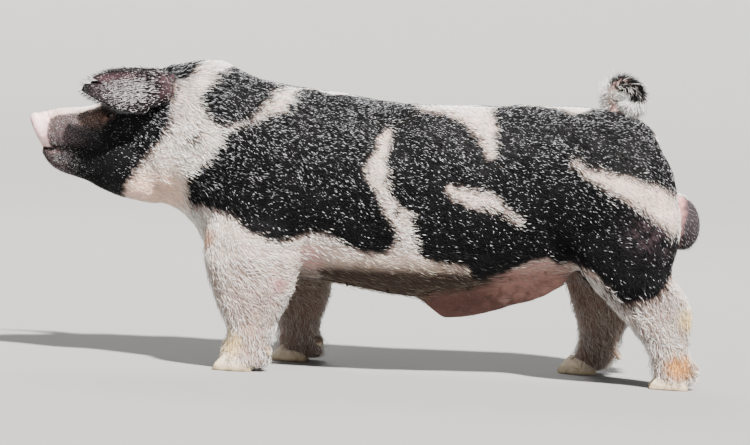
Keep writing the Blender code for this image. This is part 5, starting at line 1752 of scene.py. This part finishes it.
hair_look = surface("boar_hair", {"Specular IOR Level": 0.15}, paint_hair)
print("tuft maker ready")

# %% [markdown]
# ## Growing the coat
# The regions differ in length, thickness and lift: short and flat on the face, longer on legs and
# belly. Each is grown from the same maker with its own row of a table, and every chance value is
# seeded, so the coat comes out the same each time.

# %% The table of coats
# Each row: name, number of tufts, rings, slot, length in mm, width in mm, lift
THIN = 1.0
COATS = (
    ("coat_head", 31000, 1, "coat_black", 8.5, 0.90, 0.14),
    ("coat_ears", 15000, 1, "coat_black", 7.0, 0.80, 0.13),
    ("coat_neck", 15300, 2, "coat_white", 17.0, 1.20, 0.15),
    ("coat_shoulder_left", 26500, 1, "coat_black", 12.0, 1.20, 0.14),
    ("coat_shoulder_right", 26500, 1, "coat_black", 12.0, 1.20, 0.14),
    ("coat_back_left", 26500, 1, "coat_black", 12.0, 1.20, 0.14),
    ("coat_back_right", 26500, 1, "coat_black", 12.0, 1.20, 0.14),
    ("coat_belly", 4600, 2, "coat_white", 20.0, 1.10, 0.16),
    ("coat_fore_legs", 11500, 2, "coat_white", 21.0, 1.15, 0.14),
    ("coat_hind_legs", 11500, 2, "coat_white", 20.0, 1.20, 0.14),
)
# Places along X where the head's, the neck's and the shoulders' coats end
HEAD_COAT_END, NECK_COAT_END, SHOULDER_COAT_END = -0.455, -0.315, 0.14


def coat_masks():
    """Which coat each face of the skin carries, by name."""
    x, y, z = corner_mean(skin_places).T
    area = {name: corner_mean(values) for name, values in skin_area.items()}
    head, ear, tail = x < HEAD_COAT_END, area["ear"] > 0.3, area["tail"] > 0.3
    neck = (x >= HEAD_COAT_END) & (x < NECK_COAT_END)
    leg = ((z < 0.275) & (np.abs(y) > 0.055) & (x < fore_leg_end(y))) | ((z < 0.245) & (x > 0.43))
    belly = (corner_mean(skin_ups)[:, 2] < -0.35) & (z < 0.29) & ~leg
    trunk = ~(head | neck | leg | belly | ear | tail)
    masks = {"coat_head": head & ~ear, "coat_ears": ear, "coat_neck": neck & ~(leg | belly | ear),
             "coat_belly": belly & ~(head | ear), "coat_fore_legs": leg & (x < 0.2), "coat_hind_legs": leg & (x > 0.2)}
    for word, near in (("left", y < 0), ("right", y >= 0)):
        masks[f"coat_shoulder_{word}"] = trunk & near & (x < SHOULDER_COAT_END)
        masks[f"coat_back_{word}"] = trunk & near & (x >= SHOULDER_COAT_END)
    return masks


# %% Grow every coat
masks = coat_masks()
growth = (1 - corner_mean(bareness(skin_area))) * ramp(corner_mean(skin_places)[:, 2], 0.006, 0.014)
snout_share = 1 - ramp(corner_mean(skin_places)[:, 0], -0.66, -0.57)


def tuft_sizes(places, area, length, width, lift, draw):
    """Length, width, lift and curl of each tuft, from its place and chance."""
    count = len(places)
    scale = draw.uniform(0.70, 1.30, count)
    scale *= mix(1.0, 0.66, area["muzzle"]) * mix(1.0, 0.55, area["eye"])
    scale *= 1 + 0.22 * sway(places, 0.09, 61)
    forehead = area["head"] * (1 - ramp(places[:, 0], -0.60, -0.52))
    scale *= mix(1.0, 0.75, forehead)
    nape = 1 + 0.8 * ramp(places[:, 0], -0.55, HEAD_COAT_END)
    behind = 0.85 + 0.15 * ramp(places[:, 0], -0.45, -0.38)
    scale *= np.where(places[:, 0] < HEAD_COAT_END, nape, behind)
    wave = sway(places, 0.045, 62)
    coronet = area["leg"] * (1 - ramp(places[:, 2], 0.065, 0.110))
    scale *= mix(0.35, 1.0, ramp(places[:, 2], 0.010, 0.040))
    wide = width * draw.uniform(0.7, 1.25, count) * np.sqrt(scale) / 1000
    rise = lift * draw.uniform(0.4, 1.5, count) * (1 + 0.5 * wave) * (1 + 1.5 * coronet)
    return length * scale / 1000, wide, rise, draw.normal(0, 0.13, count) * (1 + 2 * area["leg"])


tuft_total = 0
for number, (name, count, rings, slot, length, width, lift) in enumerate(COATS):
    draw = np.random.default_rng(100 + number)
    weights = masks[name] * growth * (1 + 2.4 * snout_share * (name == "coat_head"))
    weights = weights * (1 - 0.5 * corner_mean(skin_area["ear_inside"] * skin_area["ear"]))
    roots, ups = scattered(weights, round(count * THIN), draw)
    area = regions(roots)
    lies = hair_lie(roots, ups, area, draw)
    long, wide, rise, curl = tuft_sizes(roots, area, length, width, lift, draw)
    tones, gleam = hair_colours(roots, area, draw)
    sizes = (long * (1 - 0.35 * gleam), wide, rise, curl)
    piece = tuft_object(name, roots, ups, lies, sizes, tones, rings, hair_look, slot, True)
    tuft_total += len(piece.data.polygons)
print("coat of", tuft_total, "triangles")

# %% [markdown]
# ### Long hair
# The tail carries the longest hair, which hangs from the curl and stands up over its arch. Ears
# have a dark fringe, the lids have lashes, and stiff bristles stand out from the muzzle and chin.

# %% Tail hair
def tail_hair(count, draw):
    """Locks around the tail's core: a dark cap over the arch, white hair inside and below."""
    share = draw.uniform(0.10, 1.0, count) ** 0.7
    at = share * (len(TAIL_LINE) - 1)
    low = np.minimum(at.astype(int), len(TAIL_LINE) - 2)
    centre = mix(TAIL_LINE[low], TAIL_LINE[low + 1], (at - low)[:, None])
    ahead = TAIL_AHEAD[low]
    turn = draw.uniform(0, 2 * math.pi, count)
    side = unit(np.cross(ahead, (0.0, 1.0, 0.0)))
    other = np.cross(ahead, side)
    ups = side * np.cos(turn)[:, None] + other * np.sin(turn)[:, None]
    roots = centre + ups * (TAIL_RADIUS * (1.30 - 0.85 * share))[:, None] * 0.9
    dark = (centre[:, 2] + 0.35 * ups[:, 2] * TAIL_RADIUS > 0.640) & (centre[:, 0] > 0.551)
    dark = dark & (draw.random(count) < 0.93)
    sag = np.where(dark, -0.10, -0.62)[:, None]
    lies = unit(ahead * 0.70 + ups * 0.45 + sag * np.array((0.0, 0.0, 1.0)) + draw.normal(0, 0.20, (count, 3)))
    ups = unit(ups - lies * (ups * lies).sum(1, keepdims=True))
    colours = np.where(dark[:, None], np.array(BLACK_HAIR) * draw.uniform(0.6, 4.0, (count, 1)),
                       np.array(WHITE_HAIR) * draw.uniform(0.55, 1.02, (count, 1)))
    length = draw.uniform(0.020, 0.040, count) * mix(0.6, 1.0, ramp(share, 0.20, 0.5)) * np.where(dark, 0.62, 1.0)
    sizes = (length, draw.uniform(0.0008, 0.0017, count), draw.uniform(0.0, 0.25, count), draw.normal(0, 0.25, count))
    # The root is painted darker than the tip: painted shade near the skin
    return roots, ups, lies, sizes, (colours * 0.6, colours)


draw = np.random.default_rng(7)
tail_coat = tuft_object("coat_tail", *tail_hair(round(4800 * max(THIN, 0.5)), draw), 2, hair_look, "coat_white")
print("tail hair", len(tail_coat.data.polygons), "triangles")


# %% Lashes, ear fringe and bristles
def lashes(side, count, draw):
    """A row of curved lashes along the upper lid."""
    path = np.array(lid_path(0.0078, 1.0)) * (1, side, 1)
    at = draw.uniform(0.1, 0.95, count) * (len(path) - 1)
    low = np.minimum(at.astype(int), len(path) - 2)
    roots = mix(path[low], path[low + 1], (at - low)[:, None])
    along, up, look = (np.array(mirror_side(v, side)) for v in eye_axes())
    lies = unit(look * 0.9 + up * 0.10 + along * draw.normal(0, 0.25, (count, 1)))
    ups = unit(up - lies * (lies @ up)[:, None])
    return roots, ups, lies


def fringe(side, count, draw):
    """Hair along the ear's lower edge and round its tip."""
    sheet = ear_sheets[side][0]
    row = draw.uniform(0.15, 1.0, count) * (len(sheet) - 1)
    column = np.where(draw.random(count) < 0.75, 0, sheet.shape[1] - 1)
    low = np.minimum(row.astype(int), len(sheet) - 2)
    roots = mix(sheet[low, column], sheet[low + 1, column], (row - low)[:, None])
    down = np.where(column == 0, -1.0, 0.35)[:, None]
    lies = unit(np.array((-0.9, 0.0, 0.0)) + down * np.array((0.0, 0.0, 0.55)) + draw.normal(0, 0.16, (count, 3)))
    ups = unit(np.array((0.0, side, 0.0)) - lies * (lies @ np.array((0.0, side, 0.0)))[:, None])
    return roots, ups, lies


def bristles(count, draw):
    """Roots on the chin and the muzzle's sides, from which single stiff hairs stand out."""
    x, y, z = corner_mean(skin_places).T
    chin = (x < -0.64) & (z < 0.475) | ((x < -0.66) & (np.abs(y) > 0.03))
    roots, ups = scattered(chin * (growth > 0.1) * 1.0, count, draw)
    lies = unit(ups * 0.55 + np.array((0.6, 0.0, -0.35)) + draw.normal(0, 0.2, (count, 3)))
    return roots, unit(ups - lies * (ups * lies).sum(1, keepdims=True)), lies


def long_hair(name, parts, length, width, lift, tone, rings, slot, draw):
    roots, ups, lies = (np.vstack(group) for group in zip(*parts))
    count = len(roots)
    sizes = (length * draw.uniform(0.6, 1.25, count), width * draw.uniform(0.7, 1.2, count),
             lift * draw.uniform(0.3, 1.4, count), draw.normal(0, 0.15, count))
    shades = np.array(tone) * draw.uniform(0.6, 1.6, (count, 1))
    # The root is painted darker than the tip: painted shade near the skin
    return tuft_object(name, roots, ups, lies, sizes, (shades * 0.7, shades), rings, hair_look, slot)


draw = np.random.default_rng(8)
lash_roots = [lashes(side, 34, draw) for side in (-1, 1)]
long_hair("lashes", lash_roots, 0.0095, 0.00045, -0.25, (0.05, 0.045, 0.045), 3, "coat_black", draw)
fringe_roots = [fringe(side, 420, draw) for side in (-1, 1)]
long_hair("ear_fringe", fringe_roots, 0.013, 0.0009, 0.05, (0.022, 0.021, 0.022), 2, "coat_black", draw)
long_hair("bristles", [bristles(260, draw)], 0.013, 0.00036, 0.10, (0.40, 0.37, 0.35), 2, "coat_white", draw)
print("long hair grown")

# %% [markdown]
# ## Floor and light
# The floor is one lathed bowl that is flat under the animal and rises far away, so no horizon
# shows from any side. A soft sun lamp high on the camera's right lights floor and animal alike, a
# weak lamp fills the left, and one from behind lifts the outline of the back.

# %% Stage
def paint_floor(wire):
    grain = noise(wire, (9, 9, 9), 4.0)
    fine = noise(wire, (120, 120, 120), 3.0)
    colour = (grain * 0.5 + fine * 0.5).blend((0.200, 0.200, 0.198, 1), (0.228, 0.228, 0.225, 1))
    return {"Base Color": colour, "Roughness": grain * 0.15 + 0.75, "Normal": bumped(wire, fine, 0.10, 0.001)}


# Each ring of the floor: distance from the middle, height
FLOOR_PROFILE = ((0.0001, 0.0), (2.0, 0.0), (6.0, 0.0), (10.0, 0.0), (12.0, 0.2), (14.0, 0.9), (16.0, 2.4),
                 (17.5, 4.8), (18.0, 8.0))
FLOOR_SIDES = 96


def stage_bowl():
    turn = np.linspace(0, 2 * math.pi, FLOOR_SIDES, endpoint=False)
    points = [(reach * math.cos(t), reach * math.sin(t), rise) for reach, rise in FLOOR_PROFILE for t in turn]
    faces = []
    for low in range(0, len(points) - FLOOR_SIDES, FLOOR_SIDES):
        for k in range(FLOOR_SIDES):
            after = low + (k + 1) % FLOOR_SIDES
            faces.append((low + k, after, after + FLOOR_SIDES, low + k + FLOOR_SIDES))
    mesh = bpy.data.meshes.new("floor")
    mesh.from_pydata(points, [], faces)
    mesh.polygons.foreach_set("use_smooth", [True] * len(faces))
    mesh.materials.append(surface("studio_floor", {"Specular IOR Level": 0.2}, paint_floor))
    linked("floor", mesh)


stage_bowl()


# %% Lamps and world
LAMPS_AIM = Vector((0.0, 0.0, 0.3))


def aimed(name, data, place):
    """A lamp at this place that looks at the animal's middle."""
    obj = linked(name, data)
    obj.location = place
    obj.rotation_euler = (LAMPS_AIM - Vector(place)).to_track_quat("-Z", "Y").to_euler()


def sun(name, place, strength, softness, colour):
    data = bpy.data.lights.new(name, "SUN")
    data.energy, data.angle, data.color = strength, math.radians(softness), colour
    aimed(name, data, place)


def lamp(name, place, size, power, colour):
    data = bpy.data.lights.new(name, "AREA")
    data.shape, data.size, data.energy, data.color = "DISK", size, power, colour
    aimed(name, data, place)


sun("key", (2.2, -3.4, 5.6), 22.5, 4, (1.0, 0.975, 0.94))
lamp("fill", (-3.6, -4.2, 1.6), 3.0, 78, (0.93, 0.96, 1.0))
lamp("rim", (-0.6, 3.6, 4.2), 2.0, 230, (1.0, 0.98, 0.95))
world = bpy.data.worlds.new("studio")
bpy.context.scene.world = world
world.use_nodes = True
world.node_tree.nodes["Background"].inputs["Color"].default_value = (0.90, 0.95, 1.0, 1)
world.node_tree.nodes["Background"].inputs["Strength"].default_value = 0.28
print("stage lit")
